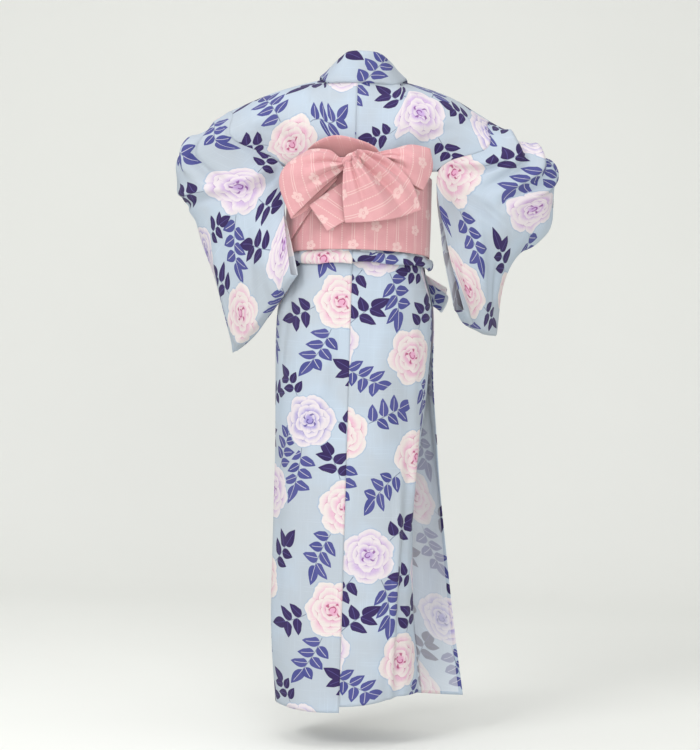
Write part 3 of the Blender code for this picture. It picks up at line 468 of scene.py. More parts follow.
# How finely the pieces are made: steps across and down each sheet, or along and across it.
SLEEVE_GRID = (76, 100)  # and as many rows again in front
UPPER_GRID = (44, 96)
COLLAR_GRID = (12, 300)
SKIRT_ROWS, TUCK_ROWS = 190, 28
TUCK_COLUMNS = {"left": (60, 170), "right": (34, 90)}  # set out, and smoothed through those
OBI_GRID = (330, 40)
BOW_FINE = 8  # the sheets of the bow are this much finer than their solids
KNOT_GRID = (40, 72)
SKIRT_LENGTHS = (  # name, distances from the centre seam to its two edges, columns
    ("back", 0, SIDE_SEAM, 62), ("front", SIDE_SEAM, OVERLAP_SEAM, 52),
    ("overlap", OVERLAP_SEAM, None, 32),
)

# How the pieces are shaped
COLLAR_SEAM = -0.12  # the share of its width that the collar laps its seam by
SPAN_POINTS, SPAN_SWING = 14, 1.15  # the points of a plan line's span, and how it swings out
HEM_WIDTH, EDGE_HEM = 0.012, 0.009  # what is turned in at the bottom and at a free edge
HEM_SLOT = 2  # the material of what is turned in, right side out
TUCK_INSIDE = ((0.24, 0.0064), (0.06, 0.0060))  # the tuck's inner layer goes on up, unseen
OBI_WIDTH = 0.165
INTO_KNOT = 0.4  # the share of the way to the knot's middle that the cloth goes on
ARCH_RIM = 0.42  # the share of the arch's width that is turned over

# The print: its repeat, across and down, and its roses: place, size, which of the dyes each
# has, and how far it is turned.
REPEAT = (0.36, 0.62)
Rose = namedtuple("Rose", "u v radius dye turn")
ROSES = {
    "A": Rose(0.085, 0.085, 0.059, 0.00, 0.4),
    "B": Rose(0.258, 0.130, 0.057, 0.06, 2.1),
    "C": Rose(0.150, 0.330, 0.056, 0.50, 3.6),
    "D": Rose(0.318, 0.372, 0.055, 1.00, 5.1),
    "E": Rose(0.060, 0.522, 0.057, 0.40, 1.3),
    "F": Rose(0.236, 0.545, 0.058, 0.10, 4.4),
}

# The sprays of leaves: the rose that each comes from and where round it, in degrees from
# across to down the cloth, then how far it leans aside, its bend and its size.
Spray = namedtuple("Spray", "rose around lean bend size")
INDIGO_SPRAYS = (
    Spray("A", -20, -5, 0, 1.00), Spray("A", 80, 5, 3, 1.00), Spray("B", 70, 0, -2, 1.00),
    Spray("B", 145, 0, -2, 0.95), Spray("C", 60, 0, 3, 1.00), Spray("D", 75, 15, -2, 1.00),
    Spray("E", -120, 10, 0, 0.95), Spray("E", 60, -25, -2, 0.95), Spray("F", 60, -5, 2, 0.95),
)
PLUM_SPRAYS = (
    Spray("A", -140, 0, 2, 1.00), Spray("B", 10, 20, -2, 1.00), Spray("C", -35, -10, 2, 1.00),
    Spray("C", 125, 0, 2, 0.90), Spray("C", -175, 0, 0, 0.80), Spray("D", 180, 0, 0, 0.80),
    Spray("D", -60, 0, 2, 0.90), Spray("E", -45, 0, 2, 1.00), Spray("F", -75, 0, 2, 1.00),
)

# A rose's rings of petals, from the outermost in, and its drawing, as shares of its radius.
Ring = namedtuple("Ring", "reach waist petals turn off_x off_y")
PETAL_RINGS = (
    Ring(1.00, 0.15, 6, 0.0, 0.00, 0.00),
    Ring(0.80, 0.17, 5, 0.9, 0.03, -0.04),
    Ring(0.60, 0.18, 5, 2.0, -0.04, 0.03),
    Ring(0.42, 0.20, 4, 0.5, 0.03, 0.04),
    Ring(0.26, 0.22, 3, 1.6, -0.01, -0.02),
)
PETAL_ROUND = 0.6  # how round the petals are
EDGE_SOFT = 0.010
PETAL_DEPTH, PETAL_FADE, PETAL_TONE = 0.30, 1.6, 0.72  # how a petal darkens inwards
CLEFT_TONE = 0.35  # the darkening between two petals
RIM_PLACE, RIM_WIDTH = 0.012, 0.018  # the pale line inside an edge
CUT_WIDTH, CUT_TONE = 0.022, 0.55  # the dark line outside it
CURL_REACH, CURL_RISE = 0.095, 0.012  # the curl in the heart
ARM_COUNT, ARM_TWIST, ARM_PLACE = 4.0, 9.0, 0.22  # the strokes round it
HEART_TONE = 0.25
STREAK_NOISE = (4.0, 3.0)  # scale and detail of the petals' streaks
WANDER_NOISE, ROSE_WANDER = (40.0, 3.0), 0.016  # what makes its edges uneven, and how much
SEED_STEP = 3.7  # so that no two roses are alike

# A spray and its leaves
SPRAY_ROOT = 0.92  # where a stem starts, as a share of its rose's radius
SPRAY_MIDDLE = 0.050  # along the stem, where a spray's reach is measured from
LEAF_SPACING = 0.0250  # along the stem
LEAF_FIRST, LEAF_STAGGER = 0.30, 0.22  # the first pair's place, and half what parts its leaves
LEAF_LENGTH, LEAF_WIDTH = 0.0350, 0.0212
LEAF_SLANT = math.radians(57)
LEAF_CURVE, LEAF_TILT = 3.2, 0.18  # how a leaf curves to the tip, and how it strays
LEAST_SIZE, SIZE_SPREAD = 0.88, 0.18
LEAF_START = 0.0015  # from the stem
LEAF_FOOT, LEAF_TIP, LEAF_FULL = 0.62, 1.12, 3.15  # its outline, which is 1 at its widest
TIP_LEAF, TIP_GAP = 1.14, 0.006  # how much larger the last leaf is, and how far on it starts
STEM, MIDRIB = 0.0007, 0.0005  # half their widths

# The weaves
COTTON_THREADS, OBI_THREADS = 5200.0, 4200.0  # radians a metre
SLUB_CLOSE, SLUB_LONG = 420, 9  # how close the thicker threads lie, and how short they are
OBI_REPEAT, FLOWER_REPEAT, FLOWER_REACH = 0.046, 0.078, 0.0115
DOT_REPEAT, LINE_APART, OBI_RIBS = 0.0048, 0.0024, 5200.0

# How strongly each part of the drawing is dyed
RIM_TONE, STROKE_TONE, STEM_TONE, HALO_TONE, PALE_TONE = 0.55, 0.85, 0.8, 0.75, 0.68
PALE_SHARE = 0.6  # how far the cool roses' cream edges go over to pale blue
# The cotton's near-white wrong side is partly its paler back, partly painted light on the robe's
# shaded inside.
PALE_AND_LIT_INSIDE, PLAIN_INSIDE = 0.50, 0.8  # how much of the wrong side's own colour shows
LIGHT_THROUGH = 0.30  # the share of light that passes the cotton

# How the cloths take the light
SPECULAR = 0.25
COTTON_SURFACE = (0.82, 0.12)  # roughness and sheen
OBI_SURFACE = (0.62, 0.25, 0.4)  # and the sheen's roughness
COTTON_PATCHES = (7.0, 3.0, 0.38, 0.62)  # scale, detail, and where they begin and end
OBI_PATCHES = (30.0, 3.0, 0.3, 0.7)
COTTON_WORN, OBI_WORN = (0.09, 0.95), (0.06, 0.97)  # a thick thread's change, and the rest
COTTON_ROUGH, OBI_ROUGH = (-0.08, 0.84), (-0.12, 0.64)
COTTON_RELIEF, OBI_RELIEF = (0.35, 0.0003), (0.5, 0.0004)  # strength, and height in metres
PALE_HEIGHT, RIB_HEIGHT, WEAVE_HEIGHT = 0.8, 0.3, 0.4  # what each adds to the obi's relief

# The stage
CAMERA_PLACE = (-0.010, -2.900, -0.706)
CAMERA_PITCH, CAMERA_ROLL = math.radians(2.23), 0.0297
CAMERA_LENS, SENSOR_HEIGHT = 66.6, 36.0  # in millimetres
FLOOR_Z, FLOOR_FRONT = -1.345, -7.0
BACKDROP_Y, BACKDROP_CURVE, BACKDROP_REACH, BACKDROP_TOP = 3.9, 1.6, 16.0, 6.0
BACKDROP_DIM = 0.985  # the darker of its two greys, as a share
BACKDROP_SURFACE, BACKDROP_NOISE = (0.9, 0.0), (3.0, 2.0)  # roughness, sheen; scale, detail
CURVE_STEPS = 12
LAMPS_TOWARDS = (0, 0, -0.6)
Lamp = namedtuple("Lamp", "name place size share")
LAMPS = (
    Lamp("key", (-2.4, -2.6, 1.9), 1.4, 0.9),
    Lamp("fill", (0.4, -3.4, -0.3), 1.8, 0.78),
    Lamp("top", (-0.3, -0.5, 2.4), 1.4, 0.3),
)


# --- Cloth -----------------------------------------------------------------------------------


def smooth_through(points, share):
    """The points at shares, from 0 to 1, of smooth curves through evenly counted points. One
    share gives one point, and a list of them gives a line of points."""
    points, at = np.asarray(points, float), np.asarray(share, float)
    spans = len(points) - 1
    at = np.clip(at, 0, 1) * spans
    i = np.minimum(at.astype(int), spans - 1)
    t = (at - i).reshape(at.shape + (1,) * (points.ndim - 1))
    ends = [2 * points[:1] - points[1:2], 2 * points[-1:] - points[-2:-1]]
    whole = np.concatenate([ends[0], points, ends[1]])
    before, here, after, beyond = (whole[i + k] for k in range(4))
    bend = before * 2 - here * 5 + after * 4 - beyond
    twist = here * 3 - before - after * 3 + beyond
    return (here * 2 + (after - before) * t + bend * t * t + twist * t**3) * 0.5


def smooth_down(grid, count):
    """A grid set out again with so many steps down each of its columns."""
    return smooth_through(grid.transpose(1, 0, 2), shares(count)).transpose(1, 0, 2)


def shares(count):
    """Even shares from 0 to 1, with so many steps between them."""
    return np.linspace(0, 1, count + 1)


def ease(low, high, value):
    """0 up to low, 1 from high on, and smooth between."""
    t = np.clip((value - low) / (high - low), 0, 1)
    return t * t * (3 - 2 * t)


def unit(vectors):
    """The vectors made one long."""
    return vectors / np.maximum(np.linalg.norm(vectors, axis=-1, keepdims=True), 1e-9)


def heading(degrees):
    """The way that an angle points, in plan or across and down the cloth."""
    return math.cos(math.radians(degrees)), math.sin(math.radians(degrees))


def run_lengths(line):
    """How far along a line of points each of them is."""
    steps = np.linalg.norm(np.diff(line, axis=0), axis=-1)
    return np.concatenate([[0.0], np.cumsum(steps)])


def evenly(line, count):
    """A line of points set out again at even distances."""
    far = run_lengths(line)
    places = np.linspace(0, far[-1], count + 1)
    return np.stack([np.interp(places, far, line[:, k]) for k in range(3)], axis=-1)


def folded(u, v, folds):
    """The height of soft ridges, or troughs where it is below 0, each along its bowed line."""
    total = np.zeros_like(u)
    for fold in folds:
        run = np.array((fold.to_u - fold.u, fold.to_v - fold.v))
        length = np.linalg.norm(run)
        run = run / length
        far = (u - fold.u) * run[0] + (v - fold.v) * run[1]
        share = np.clip(far / length, 0, 1)
        aside = (v - fold.v) * run[0] - (u - fold.u) * run[1] - fold.bow * 4 * share * (1 - share)
        past = far - share * length
        fade = np.sin(np.pi * share) ** FOLD_FADE
        total += fold.height * fade * np.exp(-((aside / fold.width) ** 2) - (past / fold.width) ** 2)
    return total


def rippled(u, v, waves):
    """The slow unevenness of hanging cloth, from waves of unequal length across and down it."""
    total = np.zeros_like(u)
    for wave in waves:
        bend = WAVE_BEND * np.sin(2 * np.pi * v / (wave.down * BEND_LENGTH) + 3 * wave.shift)
        across = np.sin(2 * np.pi * u / wave.across + bend + wave.shift)
        total += wave.height * across * np.cos(2 * np.pi * v / wave.down + 2 * wave.shift)
    return total


class Sheet:
    """A piece of cloth: a grid of points on its right side, and its place in the cut cloth."""

    def __init__(self, grid, turned=False, u_start=0.0):
        self.grid, self.turned = grid, turned
        across, down = (np.linalg.norm(np.diff(grid, axis=k), axis=-1) for k in (0, 1))
        self.u = np.vstack([np.zeros(across.shape[1]), np.cumsum(across, axis=0)]) + u_start
        self.v = np.hstack([np.zeros((down.shape[0], 1)), np.cumsum(down, axis=1)])

    def raise_by(self, height):
        """Moves each point out from the right side."""
        out = unit(np.cross(np.gradient(self.grid, axis=1), np.gradient(self.grid, axis=0)))
        self.grid = self.grid + (-out if self.turned else out) * height[..., None]

    def press_seams(self, both):
        """Draws the cloth in where its first column is sewn, and its last one if both are."""
        height = -SEAM_DEPTH * np.exp(-(((self.u - self.u[:1]) / SEAM_REACH) ** 2))
        if both:
            height -= SEAM_DEPTH * np.exp(-(((self.u[-1:] - self.u) / SEAM_REACH) ** 2))
        self.raise_by(height)

    def faces(self, first):
        """The grid's faces, where its points are counted from first."""
        rows, columns = self.u.shape
        corner = first + np.arange(rows * columns).reshape(rows, columns)
        quads = np.stack([corner[:-1, :-1], corner[:-1, 1:], corner[1:, 1:], corner[1:, :-1]], -1)
        quads = quads.reshape(-1, 4)
        return quads[:, ::-1] if self.turned else quads


def in_scene(name, data):
    """A new object in the scene."""
    thing = bpy.data.objects.new(name, data)
    bpy.context.scene.collection.objects.link(thing)
    return thing


def cloth_mesh(name, points, faces, places):
    """A mesh with the place of each point in the cut cloth as its UV map."""
    mesh = bpy.data.meshes.new(name)
    mesh.from_pydata(points.tolist(), [], faces)
    corners = np.empty(len(mesh.loops), int)
    mesh.loops.foreach_get("vertex_index", corners)
    mesh.uv_layers.new(name="cloth").data.foreach_set("uv", places[corners].ravel())
    return mesh


def rework(mesh, change):
    """Lets change work on a mesh in its editable form."""
    work = bmesh.new()
    work.from_mesh(mesh)
    change(work)
    work.to_mesh(mesh)
    work.free()


def join_rims(work):
    """Merges the sheets of one piece where their edges meet."""
    rims = [vert for vert in work.verts if vert.is_boundary]
    bmesh.ops.remove_doubles(work, verts=rims, dist=1e-4)


def make_piece(title, sheets, wall, look):
    """One piece from its sheets, joined where their edges meet, with the wall behind them."""
    points = np.concatenate([s.grid.reshape(-1, 3) for s in sheets])
    places = np.concatenate([np.stack([s.u, s.v], -1).reshape(-1, 2) for s in sheets])
    faces, first = [], 0
    for sheet in sheets:
        faces += sheet.faces(first).tolist()
        first += sheet.u.size
    name = title + "_cloth"
    mesh = cloth_mesh(name, points, faces, places + np.array(PRINT_SHIFT.get(title, (0, 0))))
    if len(sheets) > 1:
        rework(mesh, join_rims)
    mesh.shade_smooth()
    piece = in_scene(name, mesh)
    for material in look:
        mesh.materials.append(material)
    thicken = piece.modifiers.new("wall", "SOLIDIFY")
    thicken.thickness = wall
    thicken.offset = -1
    thicken.material_offset = 1
    thicken.material_offset_rim = 0
    return piece


def set_materials(piece, index):
    """Gives each face of a grid its own material, by the material's place in the list."""
    piece.data.polygons.foreach_set("material_index", index.astype(int).ravel())


# --- Sleeves ---------------------------------------------------------------------------------


def on_side(points, side):
    """Points of the right half, moved to the half that is meant."""
    return np.asarray(points) * ((-1, 1, 1) if side == "left" else (1, 1, 1))


@lru_cache(maxsize=None)
def sleeve_section(side, share):
    """The points that a section hangs through, and how far down each of them is."""
    rows = SLEEVES[side]
    points = np.array([
        smooth_through([getattr(row, part) for row in rows], share)
        for part in ("top", "arm", "under", "middle", "low")
    ])
    return points, run_lengths(points)


def sleeve_middle(section, down):
    """The middle of the sleeve's two layers, down metres below its highest point."""
    points, downs = section
    return smooth_through(points, np.interp(down, downs, shares(len(downs) - 1)))


def sleeve_steps(side, share, steps):
    """How far down steps of a section are, and half the gap between the layers there."""
    rows = SLEEVES[side]
    radius = smooth_through([row.radius for row in rows], share)
    gap = smooth_through([row.gap for row in rows], share)
    _, (_, _, sewn, _, whole) = sleeve_section(side, share)
    angle = ARM_ARC * np.clip(steps / ARC_STEPS, 0, 1)
    start, widest = radius * (1 - math.cos(ARM_ARC)), radius * math.sin(ARM_ARC)
    hang = np.interp(steps, (ARC_STEPS, HELD_STEPS, ALL_STEPS), (start, sewn, whole))
    left = np.clip(1 - (hang - start) / (whole - start), 0, 1)
    on_arm = steps < ARC_STEPS
    down = np.where(on_arm, radius * (1 - np.cos(angle)), hang)
    half = np.where(on_arm, radius * np.sin(angle), gap + (widest - gap) * left**3)
    to_fold = np.clip((whole - down) / FOLD_ROUND, 0, 1)
    half = half * np.sqrt(1 - (1 - to_fold) ** 2)
    shut = ease(SEWN_FROM, 1, share) * ease(CUFF_LENGTH - CUFF_EASE, CUFF_LENGTH, down)
    return down, half + (np.minimum(half, SEWN_HALF) - half) * shut


def sleeve_ring(side, share, steps):
    """A section round the sleeve: its back layer downwards, and its front layer."""
    before, here, beyond = (
        sleeve_section(side, min(max(share + way, 0.0), 1.0))
        for way in (-SECTION_STEP, 0, SECTION_STEP)
    )
    down, half = sleeve_steps(side, share, steps)
    middle = sleeve_middle(here, down)
    run = sleeve_middle(beyond, down) - sleeve_middle(before, down)
    outward = unit(np.stack([run[:, 1], -run[:, 0], 0 * down], -1)) * half[:, None]
    return on_side(middle + outward, side), on_side(middle - outward, side)


def sleeve_grid(side, columns, rows):
    """One length of cloth folded over the arm: columns from the armhole to the cuff."""
    near_fold = ALL_STEPS - FOLD_STEPS
    steps = np.concatenate([
        np.arange(0, HELD_STEPS, HELD_STEP),
        np.arange(HELD_STEPS, near_fold, HUNG_STEP),
        ALL_STEPS - FOLD_STEPS * (1 - shares(FOLD_POINTS)) ** 2,
    ])
    lines = []
    for share in shares(SLEEVE_SECTIONS):
        back, front = (evenly(layer, rows) for layer in sleeve_ring(side, float(share), steps))
        lines.append(np.concatenate([back, front[-2::-1]]))
    return smooth_through(lines, shares(columns))


def make_sleeve(side, look, robe):
    """A sleeve, which hangs from the arm and is sewn up below the cuff."""
    columns, rows = SLEEVE_GRID
    sheet = Sheet(sleeve_grid(side, columns, rows), side == "left")
    ridge = sheet.v[:, rows:rows + 1]  # the fold at the bottom, halfway round
    back = sheet.v < ridge
    hang = np.where(back, sheet.v, sheet.v - sheet.v[:, -1:])  # below 0 on the front
    waves = rippled(sheet.u, np.abs(hang) + np.where(back, 0, FRONT_WAVES), SLEEVE_WAVES)
    height = waves * ease(*SHOULDER_EASE, np.abs(hang))
    height += folded(sheet.u, hang, SLEEVE_FOLDS[side])
    height *= ease(0, RIDGE_EASE, np.abs(sheet.v - ridge)) * ease(0, ARMHOLE_EASE, sheet.u)
    sheet.raise_by(height)
    sheet.grid[:, 0] = sheet.grid[:, -1] = (sheet.grid[:, 0] + sheet.grid[:, -1]) / 2
    return make_piece("sleeve_" + side, [sheet], robe.cloth_wall, look)


# --- Upper lengths and collar ----------------------------------------------------------------


@lru_cache(maxsize=None)
def armhole(side, layer):
    """The sleeve's edge from the ridge to the armpit."""
    return sleeve_ring(side, 0.0, HELD_STEPS * shares(ARMHOLE_POINTS))[layer]


def armhole_at(side, layer, level):
    """The armhole's point at a level, from 0 at the ridge to the armpit's."""
    line = armhole(side, layer)
    at = np.clip(level / ARMPIT_SHARE, 0, 1) * ARMHOLE_POINTS
    i = min(int(at), ARMHOLE_POINTS - 1)
    return line[i] + (line[i + 1] - line[i]) * (at - i)


@lru_cache(maxsize=None)
def level_rows(front, side):
    """The levels as rows of points, with the armhole's points put in."""
    levels = FRONT_LEVELS if front else BACK_LEVELS
    coarse = sleeve_ring(side, 0.0, np.arange(HELD_STEPS + 1.0))[int(front)]
    edge = smooth_through(coarse, shares(ARMPIT_LEVEL))
    rows = []
    for i, level in enumerate(levels.values()):
        points = [on_side(p, side) for p in level[:-1]]
        points.append(edge[i] if level.side is None else on_side(level.side, side))
        if not front:
            points[0] = np.array((CENTRE_SEAM_X, *points[0][1:]))
        rows.append(points)
    return rows


def upper_point(rows, thread, level):
    """A point of an upper length, by its share across the threads and down the levels."""
    return smooth_through([smooth_through(row, thread) for row in rows], level)


def back_point(side, thread, level):
    """A point of the back, drawn to the armhole so that its edge lies on it."""
    rows = level_rows(False, side)
    here = upper_point(rows, thread, level)
    if level <= ARMPIT_SHARE and thread > ARMHOLE_REACH:
        apart = armhole_at(side, 0, level) - upper_point(rows, 1, level)
        here = here + apart * ease(ARMHOLE_REACH, 1, thread)
    return here


def chest_point(side, thread, level, lift=0.0):
    """A point on the chest. A thread below 0 is on the other side of the centre. The right
    front lies under the left one from the chest down."""
    half = side if thread >= 0 else ("right" if side == "left" else "left")
    rows = level_rows(True, half)
    thread = abs(thread)
    here = upper_point(rows, thread, level)
    across = upper_point(rows, min(thread + CHEST_STEP, 1), level) - here
    above = upper_point(rows, thread, max(level - CHEST_STEP, 0))
    out = unit(np.cross(across, upper_point(rows, thread, min(level + CHEST_STEP, 1)) - above))
    out = -out if out[1] < 0 else out
    if side == "right":
        lift = lift - 2 * LAYER * ease(*CHEST_CROSSING, level)
    return here + out * lift


def front_point(side, thread, level):
    """A point of the front, drawn to the armhole and to the back at the side."""
    here = chest_point(side, thread, level)
    if level <= ARMPIT_SHARE:
        reach, edge = ARMHOLE_REACH, armhole_at(side, 1, level)
    else:
        reach, edge = SIDE_REACH, back_point(side, 1, level)
    if thread > reach:
        here = here + (edge - chest_point(side, 1, level)) * ease(reach, 1, thread)
    return here


def upper_grids(side, columns, rows):
    """The back from the centre seam to the side, and the front from the collar to the side."""
    levels = shares(UPPER_LEVELS)
    neck = shares(NECK_THREADS)[:-1] * NECK_THREAD
    threads = np.concatenate([neck, NECK_THREAD + (1 - NECK_THREAD) * shares(SHOULDER_THREADS)])
    back = [[back_point(side, t, v) for v in levels] for t in threads]
    shoulder = back[len(neck):]
    seams = [COLLAR_CHEST[0].seam + NECK_EASE] + [row.seam for row in COLLAR_CHEST]
    front = []
    for k, share in enumerate(shares(SHOULDER_THREADS)):
        line = [shoulder[k][0]]
        for level in levels[1:]:
            edge = float(smooth_through(seams, level))
            line.append(front_point(side, edge + (1 - edge) * share, level))
        front.append(line)
    across = columns * NECK_THREADS // SHOULDER_THREADS
    neck, shoulder, front = (
        smooth_down(smooth_through(grid, shares(count)), rows)
        for grid, count in ((back[: len(neck) + 1], across), (shoulder, columns), (front, columns))
    )
    return np.concatenate([neck[:-1], shoulder]), front, across


def make_upper(side, look, robe):
    """An upper length, from the waist behind over the shoulder to the waist in front."""
    back_grid, front_grid, to_neck = upper_grids(side, *UPPER_GRID)
    back = Sheet(back_grid, side == "left")
    front = Sheet(front_grid, side == "right", back.u[to_neck, 0])
    for sheet, table in ((back, BACK_FOLDS[side]), (front, FRONT_FOLDS[side])):
        waves = rippled(sheet.u, sheet.v, UPPER_WAVES) * ease(*TOP_EASE, sheet.v)
        height = (waves + folded(sheet.u, sheet.v, table)) * ease(0, RIDGE_EASE, sheet.v)
        sheet.raise_by(height * ease(0, SIDE_EASE, sheet.u[-1:] - sheet.u))
    back.press_seams(both=False)
    back.v = -back.v  # the print runs on over the shoulder
    return make_piece("upper_" + side, [back, front], robe.cloth_wall, look)


def collar_grid(across, along):
    """One band, from the left front's waist round the neck to the right front's."""
    halves = []
    for side in SIDES:
        neck = [[on_side(p, side) + (COLLAR_X * (1 - k / NECK_LAST), 0, 0) for p in pair]
                for k, pair in enumerate(COLLAR_NECK)]
        chest = []
        for share in shares(COLLAR_ROWS):
            row = CollarRow(*smooth_through(COLLAR_CHEST, share))
            chest.append([
                chest_point(side, row.seam, row.level, LAYER),
                chest_point(side, row.fold, row.fold_level, COLLAR_FOLD_LIFT),
            ])
        joint = neck + [chest[0], chest[2]]
        last = len(COLLAR_NECK) / (len(joint) - 1)
        halves.append(list(smooth_through(joint, last * shares(NAPE_ROWS)[:-1])) + chest)
    whole = np.array(halves[0][::-1] + halves[1][1:])
    low = evenly(whole[:, 0], along)
    far = run_lengths(whole[:, 0])
    high = np.stack([
        np.interp(shares(along) * far[-1], far, whole[:, 1, k]) for k in range(3)], -1)
    t = (COLLAR_SEAM + (1 - COLLAR_SEAM) * shares(across))[None, :, None]
    return low[:, None] * (1 - t) + high[:, None] * t


def make_collar(look, robe):
    """The collar, one folded band."""
    sheet = Sheet(collar_grid(*COLLAR_GRID), True)
    far_edge, near_edge = COLLAR_EDGES
    rounded = ease(0, far_edge, sheet.v[:, -1:] - sheet.v) * ease(0, near_edge, sheet.v)
    sheet.raise_by(rippled(sheet.v, sheet.u, COLLAR_WAVES) - COLLAR_ROUND * (1 - rounded))
    return make_piece("collar", [sheet], robe.collar_wall, look)


# --- Skirt and tuck --------------------------------------------------------------------------


def hermite_run(nodes):
    """Points of a smooth plan line through nodes, each a place and the way it heads."""
    t = shares(SPAN_POINTS)[:-1, None]
    points = []
    for (a, way_a), (b, way_b) in zip(nodes, nodes[1:]):
        a, b, way_a, way_b = (np.array(v, float) for v in (a, b, way_a, way_b))
        reach = np.linalg.norm(b - a) * SPAN_SWING
        points.append(
            a * (1 - 3 * t**2 + 2 * t**3) + b * (3 * t**2 - 2 * t**3)
            + way_a * reach * (t - 2 * t**2 + t**3) + way_b * reach * (t**3 - t**2)
        )
    return np.concatenate(points + [np.array([nodes[-1][0]], float)])


def along(line, distances):
    """The points at distances along a line, going straight on past its end."""
    far = run_lengths(line)
    past = np.maximum(distances - far[-1], 0)[:, None] * unit(line[-1] - line[-2])
    inside = [np.interp(distances, far, line[:, k]) for k in range(line.shape[1])]
    return np.stack(inside, -1) + past


def over_plan(row):
    """The left lengths in plan: from the centre seam round the left and the front to the edge."""
    return hermite_run([
        ((CENTRE_SEAM_X, -row.back), (-1, 0)),
        ((CENTRE_SEAM_X - BACK_FLAT, -row.back), (-1, 0)),
        ((-row.left, 0), (0, 1)),
        ((0, row.front), (1, 0)),
        ((row.edge_x, row.edge_y), heading(row.turn)),
    ])


def under_plan(row):
    """The right lengths in plan: round the right and the front, inside the left ones."""
    fold, right = (row.fold_x, row.fold_y), (row.right, row.right_y)
    inside = UNDER_LAYERS * LAYER
    left, front, back = row.left - inside, row.front - inside, row.back - inside
    way = unit(np.array((right[0] - CENTRE_SEAM_X, right[1] + row.back)))
    return hermite_run([
        ((CENTRE_SEAM_X, -row.back), (1, 0)),
        ((CENTRE_SEAM_X + BACK_FLAT, -row.back), (1, 0)),
        (fold, way),
        (right, (0, 1)),
        ((0, front), (-1, 0)),
        ((-left, 0), (0, -1)),
        ((-left * UNDER_END[0], -back * UNDER_END[1]), (0.6, -0.8)),  # the hidden free edge
    ])


def hem_lift(side, far):
    """How much higher the hem is, by the share of the way round from the centre seam."""
    if side == "left":
        return SIDE_LIFT * ease(0, SIDE_ROUND, far) + EDGE_LIFT * ease(FRONT_ROUND, 1, far)
    return HEM_STEP + UNDER_LIFT * ease(0, STEP_ROUND, far)


def skirt_grid(side, start, end, columns):
    """A length of the skirt between two distances from the centre seam. An end of None is
    the free edge."""
    lines = []
    for share in shares(SKIRT_ROWS):
        row = SkirtRow(*smooth_through(SKIRT, share))
        plan = (over_plan if side == "left" else under_plan)(row)
        last = run_lengths(plan)[-1] if end is None else end
        far = start + (last - start) * shares(columns)
        height = row.z + hem_lift(side, far / ROUND_SKIRT) * share**3
        lines.append(np.column_stack([along(plan, far), height]))
    return np.array(lines).transpose(1, 0, 2)


def crease(sheet, waves, below, folds):
    """Ripples and folds that fade out towards the centre seam, and the ripples at the top."""
    height = rippled(sheet.u, sheet.v, waves) * ease(*below, sheet.v)
    height = height + folded(sheet.u, sheet.v, folds)
    sheet.raise_by(height * ease(0, SEAM_EASE, sheet.u))


def make_skirt_length(name, side, start, end, columns, look, robe):
    """A length of the skirt. Its right side shows inside too where the cloth is turned in."""
    sheet = Sheet(skirt_grid(side, start, end, columns), side == "left", start)
    crease(sheet, SKIRT_WAVES[side], TOP_EASE, SKIRT_FOLDS[side])
    sheet.press_seams(both=end is not None)
    right_side, wrong_side = look
    materials = (right_side, wrong_side, right_side, right_side)
    piece = make_piece("%s_%s" % (name, side), [sheet], robe.cloth_wall, materials)
    hem = sheet.v > sheet.v[:, -1:] - HEM_WIDTH
    if end is None:
        hem |= sheet.u > sheet.u[-1:] - EDGE_HEM
    set_materials(piece, np.where(hem[:-1, :-1], HEM_SLOT, 0))
    return piece


def tuck_plan(side, out):
    """A layer of the tuck in plan, so far out from the waist, round from the centre seam."""
    back, half = TUCK_BACK + out, TUCK_HALF_WIDTH + out
    if side == "right":
        front = TUCK_FRONT + out - LAYER
        return hermite_run([
            ((CENTRE_SEAM_X, -back), (1, 0)), ((half, 0), (0, 1)), ((0, front), (-1, 0)),
        ])
    front = TUCK_FRONT + out + LAYER
    return hermite_run([
        ((CENTRE_SEAM_X, -back), (-1, 0)), ((-half, 0), (0, 1)), ((0, front), (1, 0)),
        ((half * TUCK_CORNER, front * TUCK_CORNER), (0.8, -0.6)),
        ((TUCK_EDGE[0] + out, TUCK_EDGE[1]), (0.85, -0.5)),
    ])


def tuck_grid(side, columns):
    """The fold of a side's lengths under the obi: down its outside and up its inside."""
    down, out = smooth_through(TUCK_PROFILE + TUCK_INSIDE, shares(TUCK_ROWS)).T
    lines = []
    for share in shares(columns):
        if side == "left":
            _, top, low, stand = smooth_through(TUCK_LEFT, share)
            slant, reach = TUCK_SLANT * ease(SLANT_FROM, 1, share), 1.0
        else:
            top, low, stand, slant = TUCK_RIGHT_TOP, TUCK_RIGHT_LOW, 0.0, 0.0
            reach = TUCK_RIGHT_REACH
        line = []
        for d, o in zip(down, out):
            plan = tuck_plan(side, o + stand * d)
            far = run_lengths(plan)[-1] * (share - slant * d) * reach
            x, y = along(plan, np.array([far]))[0]
            line.append((x, y, top + (low - top) * d))
        lines.append(line)
    return np.array(lines)


def make_tuck(side, look, robe):
    """The tuck of one side, a fold of spare length that hangs from under the obi."""
    coarse, fine = TUCK_COLUMNS[side]
    sheet = Sheet(smooth_through(tuck_grid(side, coarse), shares(fine)), side == "left")
    crease(sheet, TUCK_WAVES, TUCK_EASE, TUCK_FOLDS[side])
    return make_piece("tuck_" + side, [sheet], robe.cloth_wall, look)


# --- Obi and bow -----------------------------------------------------------------------------


